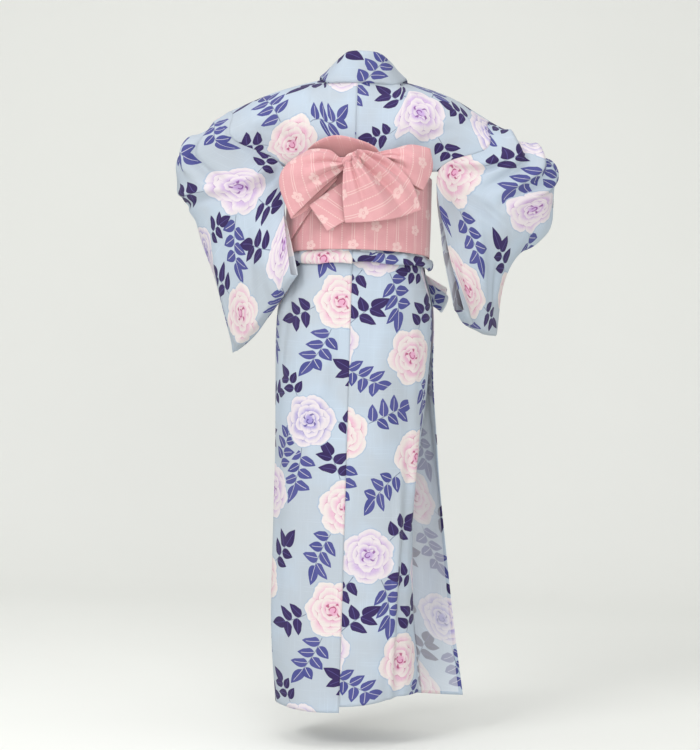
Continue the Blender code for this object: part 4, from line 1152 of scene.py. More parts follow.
def obi_grid(columns, rows):
    """A turn of the obi that ends outside its own start, where it folds up to the knot."""
    slope = (FOLD_HIGH[1] - FOLD_LOW[1]) / (FOLD_HIGH[0] - FOLD_LOW[0])
    angle = OBI_START + (OBI_FINISH - OBI_START) * shares(columns)
    out = LAYER * ease(*OBI_LAPS, angle)
    depth = np.where(np.cos(angle) > 0, OBI_BACK, OBI_FRONT) + out
    x, y = (OBI_HALF_WIDTH + out) * np.sin(angle), -depth * np.cos(angle)
    folded_x = -OBI_HALF_WIDTH * np.sin(2 * math.pi - angle)
    on_fold = FOLD_LOW[1] + (folded_x - FOLD_LOW[0]) * slope
    low = np.where(angle > 1.5 * math.pi, np.maximum(OBI_BOTTOM_Z, on_fold), OBI_BOTTOM_Z)
    low = np.minimum(low, OBI_TOP_Z - OBI_TIP)
    z = OBI_TOP_Z + (low - OBI_TOP_Z)[:, None] * shares(rows)
    return np.stack([x[:, None] + 0 * z, y[:, None] + 0 * z, z], -1)


def make_obi_band(look, obi):
    """The obi's turn round the waist."""
    sheet = Sheet(obi_grid(*OBI_GRID))
    height = rippled(sheet.u, sheet.v, OBI_WAVES) + folded(sheet.u, sheet.v, OBI_FOLDS)
    sheet.raise_by(height * ease(0, OBI_EASE, sheet.v))
    return make_piece("obi_band", [sheet], obi.obi_wall, look)


def gathered(far, share, gathers):
    """Folds that spread from the knot, each at its share across the piece, out to its reach."""
    total = np.zeros_like(far)
    for gather in gathers:
        fade = 1 - ease(gather.reach * GATHER_FULL, gather.reach, far)
        width = gather.width * (GATHER_NARROW + far / gather.reach)
        aside = share - gather.share - gather.lean * far / gather.reach
        total += gather.height * fade * np.exp(-((aside / width) ** 2))
    return total


def make_bow_piece(stretch, look, obi):
    """A stretch of the obi in the bow, smooth through the sections of its table."""
    name, table = stretch.name, np.array(stretch.sections)
    columns, rows = stretch.columns * BOW_FINE, stretch.rows * BOW_FINE
    if name == "bow_arch":  # its lower edge goes on down behind the wings
        lower = table[:, 2:] + (table[:, 2:] - table[:, 1:2]) * ARCH_RUN
        table = np.concatenate([table, lower], axis=1)
    else:
        inner = table[0] + (np.array(KNOT_MIDDLE) - table[0]) * INTO_KNOT
        table = np.concatenate([inner[None], table])
    sheet = Sheet(smooth_down(smooth_through(table, shares(columns)), rows), stretch.turned)
    share = sheet.v / np.maximum(sheet.v[:, -1:], 1e-6)  # across the piece
    height = gathered(sheet.u, share, BOW_GATHERS.get(name, ()))
    height += folded(sheet.u, share * OBI_WIDTH / 2, BOW_FOLDS.get(name, ()))
    sheet.raise_by(height)
    piece = make_piece(name, [sheet], obi.obi_wall, look)
    if name == "bow_arch":  # its wrong side shows under a rim
        set_materials(piece, np.broadcast_to(shares(rows)[1:] > ARCH_RIM, (columns, rows)))
    return piece


def make_knot(look):
    """The gathered knot: a roll drawn in at both ends, with folds that run round into it."""
    turn = np.array(Matrix.Rotation(KNOT_TURN, 3, "Y"))
    rings, steps = KNOT_GRID
    along, out, up = KNOT_REACH
    polar, angle = np.meshgrid(math.pi * shares(rings)[1:-1], 2 * math.pi * shares(steps)[:-1])
    creased = 1 + KNOT_CREASE * np.sin(7 * angle + 3 * np.cos(polar)) * np.sin(polar)
    creased += KNOT_CREASE * 0.7 * np.sin(11 * angle - 5 * np.cos(polar) + 1)
    body = np.sin(polar) ** 0.7 * creased
    points = np.stack([
        -along * np.cos(polar), out * body * np.cos(angle), up * body * np.sin(angle)], -1)
    points = np.concatenate([points.reshape(-1, 3), [(-along, 0, 0), (along, 0, 0)]])
    places = np.stack([angle * up, polar * along], -1).reshape(-1, 2)
    places = np.concatenate([places, [(0, 0), (0, math.pi * along)]])
    count = rings - 1
    faces = []
    for i in range(steps):
        a, b = i * count, (i + 1) % steps * count
        faces += [(a + k, b + k, b + k + 1, a + k + 1) for k in range(count - 1)]
        faces += [(steps * count, b, a), (steps * count + 1, a + count - 1, b + count - 1)]
    mesh = cloth_mesh("bow_knot_cloth", points @ turn.T + np.array(KNOT_MIDDLE), faces, places)
    mesh.shade_smooth()
    rework(mesh, lambda work: bmesh.ops.recalc_face_normals(work, faces=work.faces))
    piece = in_scene("bow_knot_cloth", mesh)
    mesh.materials.append(look[0])
    return piece


# --- Node trees ------------------------------------------------------------------------------


class Value:
    """A socket's value in a node tree. Plain sums of such numbers add the nodes for them."""

    def __init__(self, wiring, socket):
        self.wiring, self.socket = wiring, socket


def sum_of(operation, turned=False):
    """A sum of a Value and what stands after it, or before it if turned."""
    return lambda value, *other: value.wiring.math(
        operation, *((*other, value) if turned else (value, *other)))


for sign, operation in (("add", "ADD"), ("sub", "SUBTRACT"), ("mul", "MULTIPLY"),
                        ("truediv", "DIVIDE"), ("pow", "POWER")):
    setattr(Value, "__%s__" % sign, sum_of(operation))
    setattr(Value, "__r%s__" % sign, sum_of(operation, turned=True))
Value.__abs__ = sum_of("ABSOLUTE")


class Wiring:
    """Adds the nodes of one tree and joins them."""

    def __init__(self, tree):
        self.tree = tree

    def node(self, kind, inputs=(), **settings):
        """A new node, with what its inputs get and how it is set."""
        node = self.tree.nodes.new("ShaderNode" + kind)
        for name, value in settings.items():
            setattr(node, name, value)
        for name, value in dict(inputs).items():
            self.feed(node.inputs[name], value)
        return node

    def out(self, node, output=0):
        """The value that a node puts out."""
        return Value(self, node.outputs[output])

    def feed(self, socket, value):
        """Joins a Value to a socket, or sets a plain number, vector or colour on it."""
        if isinstance(value, Value):
            self.tree.links.new(value.socket, socket)
        else:
            socket.default_value = value

    def math(self, operation, *values):
        """A sum of numbers, by the Math node's name for it."""
        return self.out(self.node("Math", enumerate(values), operation=operation))

    def vector(self, operation, *values):
        """A sum of vectors, by the Vector Math node's name for it."""
        node = self.node("VectorMath", enumerate(values), operation=operation)
        return self.out(node, "Value" if operation == "LENGTH" else "Vector")

    def scaled(self, vector, size):
        """A vector made longer by a number."""
        node = self.node("VectorMath", {0: vector, "Scale": size}, operation="SCALE")
        return self.out(node)

    def turned(self, vector, angle):
        """A vector turned about Z."""
        inputs = {"Vector": vector, "Angle": angle}
        return self.out(self.node("VectorRotate", inputs, rotation_type="Z_AXIS"))

    def mix(self, share, first, second, kind="RGBA"):
        """A mix of two colours, or of two vectors or numbers."""
        place = ("FLOAT", "VECTOR", "RGBA").index(kind)
        inputs = {0: share, 2 + 2 * place: first, 3 + 2 * place: second}
        return self.out(self.node("Mix", inputs, data_type=kind), place)

    def split(self, vector):
        """A vector's three numbers."""
        node = self.node("SeparateXYZ", {"Vector": vector})
        return [self.out(node, k) for k in range(3)]

    def join(self, x, y=0.0, z=0.0):
        """A vector from three numbers."""
        return self.out(self.node("CombineXYZ", {"X": x, "Y": y, "Z": z}))

    def length(self, x, y):
        """How far the point x, y is from the origin."""
        return self.math("SQRT", x * x + y * y)

    def least(self, first, second):
        return self.math("MINIMUM", first, second)

    def most(self, first, second):
        return self.math("MAXIMUM", first, second)

    def step(self, value, low, high):
        """0 up to low, 1 from high on, and smooth between."""
        inputs = {"Value": value, "From Min": low, "From Max": high}
        return self.out(self.node("MapRange", inputs, interpolation_type="SMOOTHSTEP"))

    def noise(self, vector, scale, detail, output="Fac"):
        """Soft unevenness, as a number or as a colour."""
        node = self.node("TexNoise", {"Vector": vector, "Scale": scale, "Detail": detail})
        return self.out(node, output)

    def group(self, tree, **inputs):
        """What a node group puts out, by name."""
        node = self.node("Group", inputs, node_tree=tree)
        return {output.name: Value(self, output) for output in node.outputs}

    def give(self, **values):
        """Puts numbers out of a node group, each under its name."""
        for name in values:
            self.tree.interface.new_socket(
                name=name, in_out="OUTPUT", socket_type="NodeSocketFloat")
        end = self.tree.nodes.new("NodeGroupOutput")
        for name, value in values.items():
            self.feed(end.inputs[name], value)
        return self.tree


def new_group(name, *inputs):
    """A node group's wiring and what it is given: Place is a vector, the rest are numbers."""
    tree = bpy.data.node_groups.new(name, "ShaderNodeTree")
    for title in inputs:
        kind = "NodeSocketVector" if title == "Place" else "NodeSocketFloat"
        tree.interface.new_socket(name=title, in_out="INPUT", socket_type=kind)
    w = Wiring(tree)
    start = tree.nodes.new("NodeGroupInput")
    return (w, *[w.out(start, title) for title in inputs])


# --- The print and the weaves ----------------------------------------------------------------


def rose_group():
    """A rose at the origin: where it is, the line round it, its shading and its strokes."""
    w, given, size, turn = new_group("rose", "Place", "Radius", "Turn")
    seed = turn * SEED_STEP
    wander = w.noise(w.vector("ADD", given, w.join(seed, seed)), *WANDER_NOISE, "Color")
    wander = w.vector("SUBTRACT", wander, (0.5, 0.5, 0.5))
    place = w.vector("MULTIPLY_ADD", wander, (ROSE_WANDER, ROSE_WANDER, 0), given)
    place = w.scaled(w.turned(place, turn), 1.0 / size)
    mask, stroke = None, 0.0
    for ring in PETAL_RINGS:
        x, y, _ = w.split(w.vector("SUBTRACT", place, (ring.off_x, ring.off_y, 0)))
        angle = w.math("ARCTAN2", y, x) * (ring.petals / 2) + ring.turn
        lobe = abs(w.math("COSINE", angle)) ** PETAL_ROUND
        edge = (lobe * ring.waist + (1 - ring.waist)) * ring.reach
        deep = edge - w.length(x, y)  # how far inside the petals' edge
        inside = w.step(deep, -EDGE_SOFT, EDGE_SOFT)
        under = w.step(deep, 0.0, PETAL_DEPTH * ring.reach**0.5) ** PETAL_FADE
        cleft = w.step(lobe, 0.42, 0.10) * w.step(deep, 0.0, 0.03)
        tone = cleft * CLEFT_TONE + under * PETAL_TONE
        line = 1.0 - w.step(abs(deep - RIM_PLACE), 0.0, RIM_WIDTH)
        if mask is None:
            mask, shade, rim = inside, tone, line
            halo = w.step(deep, -0.050, -0.034)
            continue
        shade = w.mix(inside, shade, tone, "FLOAT")
        rim = w.mix(inside, rim, line, "FLOAT")
        cut = w.step(abs(deep + RIM_PLACE), CUT_WIDTH, 0.0) * w.step(lobe, 0.75, 0.35)
        stroke = w.most(stroke, cut)
    x, y, _ = w.split(place)
    radius, angle = w.length(x, y), w.math("ARCTAN2", y, x)
    curl = abs(radius - (angle * CURL_RISE + CURL_REACH))
    curl = w.step(curl, 0.030, 0.012) * w.step(abs(angle), 2.7, 2.3)
    arms = w.math("SINE", angle * ARM_COUNT + radius * ARM_TWIST)
    arms = w.step(arms, 0.55, 0.9) * w.step(abs(radius - ARM_PLACE), 0.075, 0.035)
    streak = w.noise(w.join(angle * 3.0, radius * 1.6, seed), *STREAK_NOISE)
    shade = shade * (streak * 0.9 + 0.55) + w.step(radius, 0.5, 0.05) * HEART_TONE
    return w.give(
        Mask=mask, Halo=halo, Shade=w.least(shade, 1.0),
        Stroke=w.most(stroke * CUT_TONE, w.most(curl, arms)), Rim=rim,
    )


def spray_group():
    """A spray of leaves that starts at the origin and runs along +X: leaves, ribs and stem."""
    w, place, bend, seed, pairs = new_group("leaf spray", "Place", "Bend", "Seed", "Pairs")
    x, y, _ = w.split(place)
    y = y - x * x * bend
    side, high = w.math("SIGN", y), abs(y)
    foot = high * (-1 / math.tan(LEAF_SLANT)) + x
    count = foot / LEAF_SPACING - (side * LEAF_STAGGER + LEAF_FIRST)
    index = w.math("FLOOR", count)
    aside = count - index - 0.5
    draw = w.node("TexWhiteNoise", {"Vector": w.join(index, side, seed)}, noise_dimensions="3D")
    chance = w.out(draw, "Value")
    tilt, _, _ = w.split(w.vector("SUBTRACT", w.out(draw, "Color"), (0.5, 0.5, 0.5)))
    far = high / math.sin(LEAF_SLANT) + aside * (LEAF_SPACING * math.cos(LEAF_SLANT))
    across = far * tilt * LEAF_TILT + aside * (LEAF_SPACING * math.sin(LEAF_SLANT))
    across = across + far * far * LEAF_CURVE
    leaf, rib = leaf_shape(w, far, across, chance * SIZE_SPREAD + LEAST_SIZE)
    wanted = w.step(index, -0.6, -0.4) * w.step(index - pairs, -0.4, -0.6)
    end_x = x - (pairs * LEAF_SPACING + TIP_GAP)
    tip_leaf, tip_rib = leaf_shape(w, end_x, y, TIP_LEAF)
    in_reach = w.step(x, -0.012, -0.010) * w.step(end_x, 0.010, 0.006)
    stem = w.step(high, STEM + 0.0004, STEM) * in_reach
    return w.give(
        Leaf=w.most(leaf * wanted, tip_leaf), Rib=w.most(rib * wanted, tip_rib),
        Stem=stem * (w.step(x, 0.010, -0.002) * 0.25 + 0.75),  # paler among the leaves
        Tone=chance,
    )


def leaf_shape(w, far, across, size):
    """An ovate leaf with a pointed tip: where it is, and its midrib."""
    share = (far - LEAF_START) / (size * LEAF_LENGTH)
    inside = w.least(w.most(share, 0.0), 1.0)
    bulge = inside**LEAF_FOOT * (1.0 - inside) ** LEAF_TIP * LEAF_FULL
    half = bulge * (LEAF_WIDTH / 2) * size
    leaf = w.step(abs(across) - half, 0.0003, -0.0003) * w.step(half, 0.0, 0.0008)
    rib = w.step(abs(across), MIDRIB + 0.0003, MIDRIB - 0.0002) * w.step(share, 0.80, 0.72)
    return leaf, rib * leaf


def nearest(w, place, motifs, middle, facts):
    """The repeat's motif that a point belongs to: the point in the motif's place, its facts."""
    best, found, told = None, None, None
    half = (REPEAT[0] / 2, REPEAT[1] / 2, 1.0)
    for motif in motifs:
        at = w.vector("SUBTRACT", place, (*middle(motif), 0.0))
        at = w.vector("WRAP", at, half, tuple(-c for c in half))
        far = w.vector("LENGTH", at)
        if best is None:
            best, found, told = far, at, facts(motif)
            continue
        nearer = w.math("LESS_THAN", far, best)
        found = w.mix(nearer, found, at, "VECTOR")
        told = w.mix(nearer, told, facts(motif), "VECTOR")
        best = w.least(best, far)
    return found, told


def spray_middle(spray):
    """Where the middle of a spray lies on the cloth, out from the edge of its rose."""
    rose = ROSES[spray.rose]
    out, way = heading(spray.around), heading(spray.around + spray.lean)
    start, on = rose.radius * SPRAY_ROOT, SPRAY_MIDDLE * spray.size
    return rose.u + out[0] * start + way[0] * on, rose.v + out[1] * start + way[1] * on


def print_group(rose, spray):
    """The printed repeat at a place on the cloth: masks of the roses and the leaves."""
    w, place = new_group("yukata print", "Place")
    at, facts = nearest(
        w, place, ROSES.values(), lambda r: (r.u, r.v), lambda r: (r.radius, r.dye, r.turn))
    radius, dye, turn = w.split(facts)
    flower = w.group(rose, Place=at, Radius=radius, Turn=turn)
    layers = []
    for sprays, pairs in ((INDIGO_SPRAYS, 3.0), (PLUM_SPRAYS, 2.0)):
        at, facts = nearest(w, place, sprays, spray_middle, lambda s: (
            math.radians(s.around + s.lean), s.bend, s.size))
        turn, bend, size = w.split(facts)
        at = w.scaled(w.turned(at, turn * -1.0), 1.0 / size)
        at = w.vector("ADD", at, (SPRAY_MIDDLE, 0, 0))
        layers.append(w.group(spray, Place=at, Bend=bend, Seed=turn + pairs, Pairs=pairs))
    indigo, plum = layers
    clear = 1.0 - flower["Halo"]
    return w.give(
        Rose=flower["Mask"], Halo=flower["Halo"], Shade=flower["Shade"],
        Stroke=flower["Stroke"], Rim=flower["Rim"], Dye=dye,
        Leaf=w.most(indigo["Leaf"], plum["Leaf"]) * clear, Plum=plum["Leaf"],
        Rib=w.mix(plum["Leaf"], indigo["Rib"], plum["Rib"], "FLOAT"),
        Stem=w.most(indigo["Stem"], plum["Stem"]) * clear,
        Tone=w.mix(plum["Leaf"], indigo["Tone"], plum["Tone"], "FLOAT"),
    )


def weave_group():
    """Plain weave with thicker threads here and there: the cloth's height and its shade."""
    w, place, threads = new_group("plain weave", "Place", "Threads")
    x, y, _ = w.split(w.scaled(place, threads))
    over = w.math("SINE", x) * w.math("SINE", y)
    along, across = (
        w.noise(w.vector("MULTIPLY", place, scale), 1.0, 2.0)
        for scale in ((SLUB_CLOSE, SLUB_LONG, 1), (SLUB_LONG, SLUB_CLOSE, 1))
    )
    slub = w.step(w.most(along, across), 0.56, 0.80)
    return w.give(Height=slub * 0.9 + over * 0.5, Slub=slub)


def obi_group():
    """The obi's woven lines and flowers, across its length: where the pale thread shows."""
    w, place = new_group("obi weave", "Place")
    x, y, _ = w.split(place)
    turn = x / OBI_REPEAT
    index = w.math("FLOOR", turn)
    at = (turn - index - 0.5) * OBI_REPEAT
    single = abs(abs(at) - OBI_REPEAT / 2)
    dots = abs(w.math("FRACT", y / DOT_REPEAT) - 0.5)
    dotted = w.step(single, 0.0014, 0.0008) * w.step(dots, 0.40, 0.30)
    double = w.step(abs(abs(at) - LINE_APART), 0.0011, 0.0005)
    up = y / FLOWER_REPEAT + w.math("FRACT", index * 0.5)
    high = (w.math("FRACT", up) - 0.5) * FLOWER_REPEAT
    radius = w.length(at, high)
    lobe = abs(w.math("COSINE", w.math("ARCTAN2", high, at) * 2.5)) ** 0.5
    past = radius - (lobe * (FLOWER_REACH * 0.55) + FLOWER_REACH * 0.45)
    eye = w.step(radius, 0.0034, 0.0028) * w.step(radius, 0.0014, 0.0020)
    petals = w.step(past, 0.0005, -0.0005) * (1.0 - eye)
    lines = double * w.step(past, 0.0005, 0.0020)
    return w.give(
        Pale=w.most(petals, w.most(lines, dotted)),
        Rib=w.math("SINE", y * OBI_RIBS),
    )


# --- Materials -------------------------------------------------------------------------------


def new_material(name, roughness, sheen, sheen_roughness=0.5):
    """A material with a Principled shader: itself, its wiring and the shader's inputs."""
    material = bpy.data.materials.new(name)
    material.use_nodes = True
    shader = material.node_tree.nodes["Principled BSDF"].inputs
    for title, value in (("Roughness", roughness), ("Specular IOR Level", SPECULAR),
                         ("Sheen Weight", sheen), ("Sheen Roughness", sheen_roughness)):
        shader[title].default_value = value
    return material, Wiring(material.node_tree), shader


def mottled(w, scale, detail, low, high, first, second):
    """Two colours that pass softly into each other all over a piece."""
    mottle = w.noise(w.out(w.node("TexCoord"), "Object"), scale, detail)
    return w.mix(w.step(mottle, low, high), first, second)


def dress(w, shader, colour, worn, roughness, height, strength, distance):
    """Feeds a cloth's colour, its value multiplied by worn, its roughness and its height."""
    colour = w.out(w.node("HueSaturation", {"Value": worn, "Color": colour}))
    w.feed(shader["Base Color"], colour)
    w.feed(shader["Roughness"], roughness)
    bump = w.node("Bump", {"Height": height, "Strength": strength, "Distance": distance})
    w.feed(shader["Normal"], w.out(bump))
    return colour


def printed_cotton(name, robe, print_nodes, weave_nodes, wrong_side):
    """The yukata's cotton. Its print shows through, paler, on the wrong side, whose near-white
    is partly painted light on the shaded inside of the robe.
    """
    material, w, shader = new_material(name, *COTTON_SURFACE)
    place = w.out(w.node("UVMap", uv_map="cloth"))
    cloth = w.group(print_nodes, Place=place)
    weave = w.group(weave_nodes, Place=place, Threads=COTTON_THREADS)
    ground = mottled(w, *COTTON_PATCHES, robe.ground, robe.ground_deep)
    cool, violet = w.step(cloth["Dye"], 0.0, 0.5), w.step(cloth["Dye"], 0.5, 1.0)
    petal = w.mix(cool, robe.rose_pink, robe.rose_lavender)
    petal = w.mix(violet, petal, robe.rose_violet)
    line = w.mix(cool, robe.heart_pink, robe.heart_lavender)
    line = w.mix(violet, line, robe.heart_violet)
    light = w.mix(cool * PALE_SHARE, robe.rose_cream, robe.rose_pale)
    rose = w.mix(cloth["Shade"], light, petal)
    rose = w.mix(cloth["Rim"] * RIM_TONE, rose, light)
    rose = w.mix(cloth["Stroke"] * STROKE_TONE, rose, line)
    leaf = w.mix(cloth["Tone"], robe.leaf_indigo, robe.leaf_blue)
    plum = w.mix(cloth["Tone"], robe.leaf_plum, robe.leaf_plum_light)
    leaf = w.mix(cloth["Plum"], leaf, plum)
    rib = w.mix(cloth["Plum"], robe.rib_pale, robe.rib_plum)
    leaf = w.mix(cloth["Rib"], leaf, rib)
    colour = w.mix(cloth["Stem"] * STEM_TONE, ground, robe.stem)
    colour = w.mix(cloth["Leaf"], colour, leaf)
    colour = w.mix(cloth["Halo"] * HALO_TONE, colour, robe.halo)
    colour = w.mix(cloth["Rose"], colour, rose)
    # The near-white mixed in is partly the cloth's paler back, partly painted light on the shaded
    # inside.
    if wrong_side:
        colour = w.mix(PALE_AND_LIT_INSIDE, colour, robe.wrong_side)
    worn = weave["Slub"] * COTTON_WORN[0] + COTTON_WORN[1]
    rough = weave["Slub"] * COTTON_ROUGH[0] + COTTON_ROUGH[1]
    colour = dress(w, shader, colour, worn, rough, weave["Height"], *COTTON_RELIEF)
    let_light_through(w, colour)
    return material


def let_light_through(w, colour):
    """Thin cloth passes a share of the light that falls on its other side."""
    surface = w.tree.nodes["Material Output"].inputs["Surface"]
    through = w.out(w.node("BsdfTranslucent", {"Color": colour}))
    front = w.out(w.tree.nodes["Principled BSDF"])
    w.feed(surface, w.out(w.node("MixShader", {0: LIGHT_THROUGH, 1: front, 2: through})))


def woven_obi(name, obi, line_nodes, weave_nodes, wrong_side):
    """The obi's stiff cotton, with lines and flowers in a paler thread."""
    material, w, shader = new_material(name, *OBI_SURFACE)
    place = w.out(w.node("UVMap", uv_map="cloth"))
    lines = w.group(line_nodes, Place=place)
    weave = w.group(weave_nodes, Place=place, Threads=OBI_THREADS)
    ground = mottled(w, *OBI_PATCHES, obi.pink, obi.pink_deep)
    colour = w.mix(lines["Pale"] * PALE_TONE, ground, obi.pale)
    if wrong_side:
        colour = w.mix(PLAIN_INSIDE, colour, obi.wrong_side)
    worn = weave["Slub"] * OBI_WORN[0] + OBI_WORN[1]
    rough = lines["Pale"] * OBI_ROUGH[0] + OBI_ROUGH[1]
    height = lines["Pale"] * PALE_HEIGHT + lines["Rib"] * RIB_HEIGHT
    dress(w, shader, colour, worn, rough, weave["Height"] * WEAVE_HEIGHT + height, *OBI_RELIEF)
    return material


@lru_cache(maxsize=None)
def weave_nodes():
    return weave_group()


@lru_cache(maxsize=None)
def cotton_look():
    """The cotton's right side and its wrong side."""
    robe, nodes = bpy.context.scene.yukata_robe, print_group(rose_group(), spray_group())
    return [printed_cotton(name, robe, nodes, weave_nodes(), wrong)
            for name, wrong in (("printed_cotton", False), ("cotton_wrong_side", True))]


@lru_cache(maxsize=None)
def obi_look():
    """The obi's right side and its wrong side."""
    obi, nodes = bpy.context.scene.yukata_obi, obi_group()
    return [woven_obi(name, obi, nodes, weave_nodes(), wrong)
            for name, wrong in (("obi_weave", False), ("obi_wrong_side", True))]


# --- Stage -----------------------------------------------------------------------------------


def make_backdrop(stage):
    """A floor that curves up into a wall behind, in one sheet."""
    start = BACKDROP_Y - BACKDROP_CURVE
    profile = [(FLOOR_FRONT, FLOOR_Z)]
    for angle in math.pi / 2 * shares(CURVE_STEPS):
        profile.append((start + BACKDROP_CURVE * math.sin(angle),
                        FLOOR_Z + BACKDROP_CURVE * (1 - math.cos(angle))))
    profile.append((BACKDROP_Y, BACKDROP_TOP))
    points = [(x, y, z) for y, z in profile for x in (-BACKDROP_REACH, BACKDROP_REACH)]
    faces = [(2 * k, 2 * k + 1, 2 * k + 3, 2 * k + 2) for k in range(len(profile) - 1)]
    mesh = bpy.data.meshes.new("backdrop")
    mesh.from_pydata(points, [], faces)
    mesh.shade_smooth()
    material, w, shader = new_material("backdrop_paper", *BACKDROP_SURFACE)
    mottle = w.noise(w.out(w.node("TexCoord"), "Object"), *BACKDROP_NOISE)
    dimmer = (*[c * BACKDROP_DIM for c in stage.backdrop[:3]], 1.0)
    w.feed(shader["Base Color"], w.mix(mottle, tuple(stage.backdrop), dimmer))
    mesh.materials.append(material)
    in_scene("backdrop", mesh)


def make_light(stage):
    """An even light all round, and the soft lamps."""
    scene = bpy.context.scene
    scene.world = bpy.data.worlds.new("studio")
    scene.world.use_nodes = True
    light = scene.world.node_tree.nodes["Background"].inputs
    light["Color"].default_value = (1, 1, 1, 1)
    light["Strength"].default_value = stage.fill
    for row in LAMPS:
        lamp = bpy.data.lights.new(row.name, "AREA")
        lamp.shape, lamp.size, lamp.energy = "SQUARE", row.size, stage.lamp_power * row.share
        holder = in_scene(row.name, lamp)
        holder.location = row.place
        way = Vector(LAMPS_TOWARDS) - Vector(row.place)
        holder.rotation_euler = way.to_track_quat("-Z", "Y").to_euler()
    scene.view_settings.view_transform = "Standard"


def make_camera():
    """A camera level with the robe's middle, tipped and rolled a little."""
    data = bpy.data.cameras.new("camera")
    data.sensor_fit = "VERTICAL"
    data.sensor_height, data.lens = SENSOR_HEIGHT, CAMERA_LENS
    right = Vector((1, 0, 0))
    up = Vector((0, -math.sin(CAMERA_PITCH), math.cos(CAMERA_PITCH)))
    back = Vector((0, -math.cos(CAMERA_PITCH), -math.sin(CAMERA_PITCH)))
    level, aside = math.cos(CAMERA_ROLL), math.sin(CAMERA_ROLL)
    axes = Matrix((right * level + up * aside, up * level - right * aside, back)).transposed()
    camera = in_scene("camera", data)
    camera.matrix_world = Matrix.Translation(CAMERA_PLACE) @ axes.to_4x4()
    bpy.context.scene.camera = camera


# --- Add-on ----------------------------------------------------------------------------------


def screen(red, green, blue):
    """A colour given as it looks on a screen, 0 to 255, made linear, with alpha."""
    parts = [c / 255 for c in (red, green, blue)]
    return (*[c / 12.92 if c < 0.04045 else ((c + 0.055) / 1.055) ** 2.4 for c in parts], 1.0)


def colour_property(name, description, *rgb):
    """A colour that a user can change."""
    return FloatVectorProperty(
        name=name, description=description, subtype="COLOR", size=4, min=0, max=1,
        default=screen(*rgb),
    )


def length_property(name, description, default):
    """A length that a user can change."""
    return FloatProperty(
        name=name, description=description, default=default, min=0, unit="LENGTH", precision=4
    )


class YukataRobeSettings(PropertyGroup):
    cloth_wall: length_property("Cloth", "Thickness of the cotton", 0.0008)
    collar_wall: length_property("Collar", "Thickness of the folded collar", 0.0024)
    ground: colour_property("Ground", "Pale blue of the cotton", 203, 216, 229)
    ground_deep: colour_property("Ground, deeper", "Unevenness of the ground", 199, 208, 217)
    # Its near-white is partly the paler back of the cloth, partly painted light on the robe's shaded
    # inside.
    wrong_side: colour_property("Wrong side", "The cotton's wrong side", 250, 252, 253)
    rose_cream: colour_property("Rose", "The petals' edges", 242, 234, 230)
    rose_pale: colour_property("Rose, cool", "The edges of lavender petals", 238, 231, 238)
    rose_pink: colour_property("Rose shade", "The pink in the petals", 238, 180, 208)
    rose_lavender: colour_property("Lavender shade", "The lavender in the petals", 206, 176, 224)
    rose_violet: colour_property("Violet shade", "The violet in the petals", 170, 158, 218)
    heart_pink: colour_property("Rose heart", "The strokes of a pink rose", 186, 72, 118)
    heart_lavender: colour_property("Lavender heart", "The strokes of a lavender rose", 135, 70, 158)
    heart_violet: colour_property("Violet heart", "The strokes of a violet rose", 86, 72, 152)
    halo: colour_property("Halo", "The line round each rose", 178, 196, 218)
    leaf_indigo: colour_property("Leaf", "Indigo leaves", 80, 84, 150)
    leaf_blue: colour_property("Leaf, lighter", "The lighter indigo leaves", 94, 96, 160)
    leaf_plum: colour_property("Dark leaf", "Plum leaves", 60, 46, 96)
    leaf_plum_light: colour_property("Dark leaf, lighter", "The lighter plum leaves", 68, 54, 106)
    rib_pale: colour_property("Midrib", "The indigo leaves' midribs", 214, 214, 224)
    rib_plum: colour_property("Dark midrib", "The plum leaves' midribs", 92, 84, 150)
    stem: colour_property("Stem", "The sprays' stems", 78, 92, 130)


class YukataObiSettings(PropertyGroup):
    obi_wall: length_property("Obi", "Thickness of the obi", 0.0016)
    pink: colour_property("Pink", "The obi's ground", 210, 157, 160)
    pink_deep: colour_property("Pink, deeper", "Unevenness of the ground", 204, 149, 153)
    pale: colour_property("Pale thread", "Lines and flowers", 222, 195, 191)
    wrong_side: colour_property("Wrong side", "The obi's wrong side", 204, 148, 149)


class YukataStageSettings(PropertyGroup):
    backdrop: colour_property("Backdrop", "Floor and backdrop", 243, 244, 240)
    lamp_power: FloatProperty(name="Lamps", description="Power of the soft lamps",
                              default=70.0, min=0, unit="POWER")
    fill: FloatProperty(name="Fill", description="Strength of the light all round",
                        default=0.63, min=0)


def finish(piece, node):
    """Attaches a piece to what it moves with, and hides the solid that it stands for."""
    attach(piece, "root")
    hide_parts(node)


def finish_sheet(piece, node):
    """The same for a sheet."""
    finish(piece, node)


class YUKATA_OT_sleeves(Operator):
    """Makes both sleeves, each a length of cloth folded over the arm"""

    bl_idname = "yukata.sleeves"
    bl_label = "Sleeves"

    def execute(self, context):
        for side in SIDES:
            piece = make_sleeve(side, cotton_look(), context.scene.yukata_robe)
            finish_sheet(piece, "sleeve_" + side)
        return {"FINISHED"}


class YUKATA_OT_upper_lengths(Operator):
    """Makes both upper lengths, from the back's waist over the shoulder to the front's"""

    bl_idname = "yukata.upper_lengths"
    bl_label = "Upper lengths"

    def execute(self, context):
        for side in SIDES:
            piece = make_upper(side, cotton_look(), context.scene.yukata_robe)
            finish_sheet(piece, "upper_" + side)
        return {"FINISHED"}


class YUKATA_OT_collar(Operator):
    """Makes the collar, one folded band from waist to waist round the neck"""

    bl_idname = "yukata.collar"
    bl_label = "Collar"

    def execute(self, context):
        piece = make_collar(cotton_look(), context.scene.yukata_robe)
        finish_sheet(piece, "collar")
        return {"FINISHED"}


class YUKATA_OT_skirt(Operator):
    """Makes the skirt's six lengths, three from the centre seam round each way"""

    bl_idname = "yukata.skirt"
    bl_label = "Skirt"

    def execute(self, context):
        robe = context.scene.yukata_robe
        for side in SIDES:
            for name, start, end, columns in SKIRT_LENGTHS:
                piece = make_skirt_length(name, side, start, end, columns, cotton_look(), robe)
                finish_sheet(piece, "%s_%s" % (name, side))
        return {"FINISHED"}


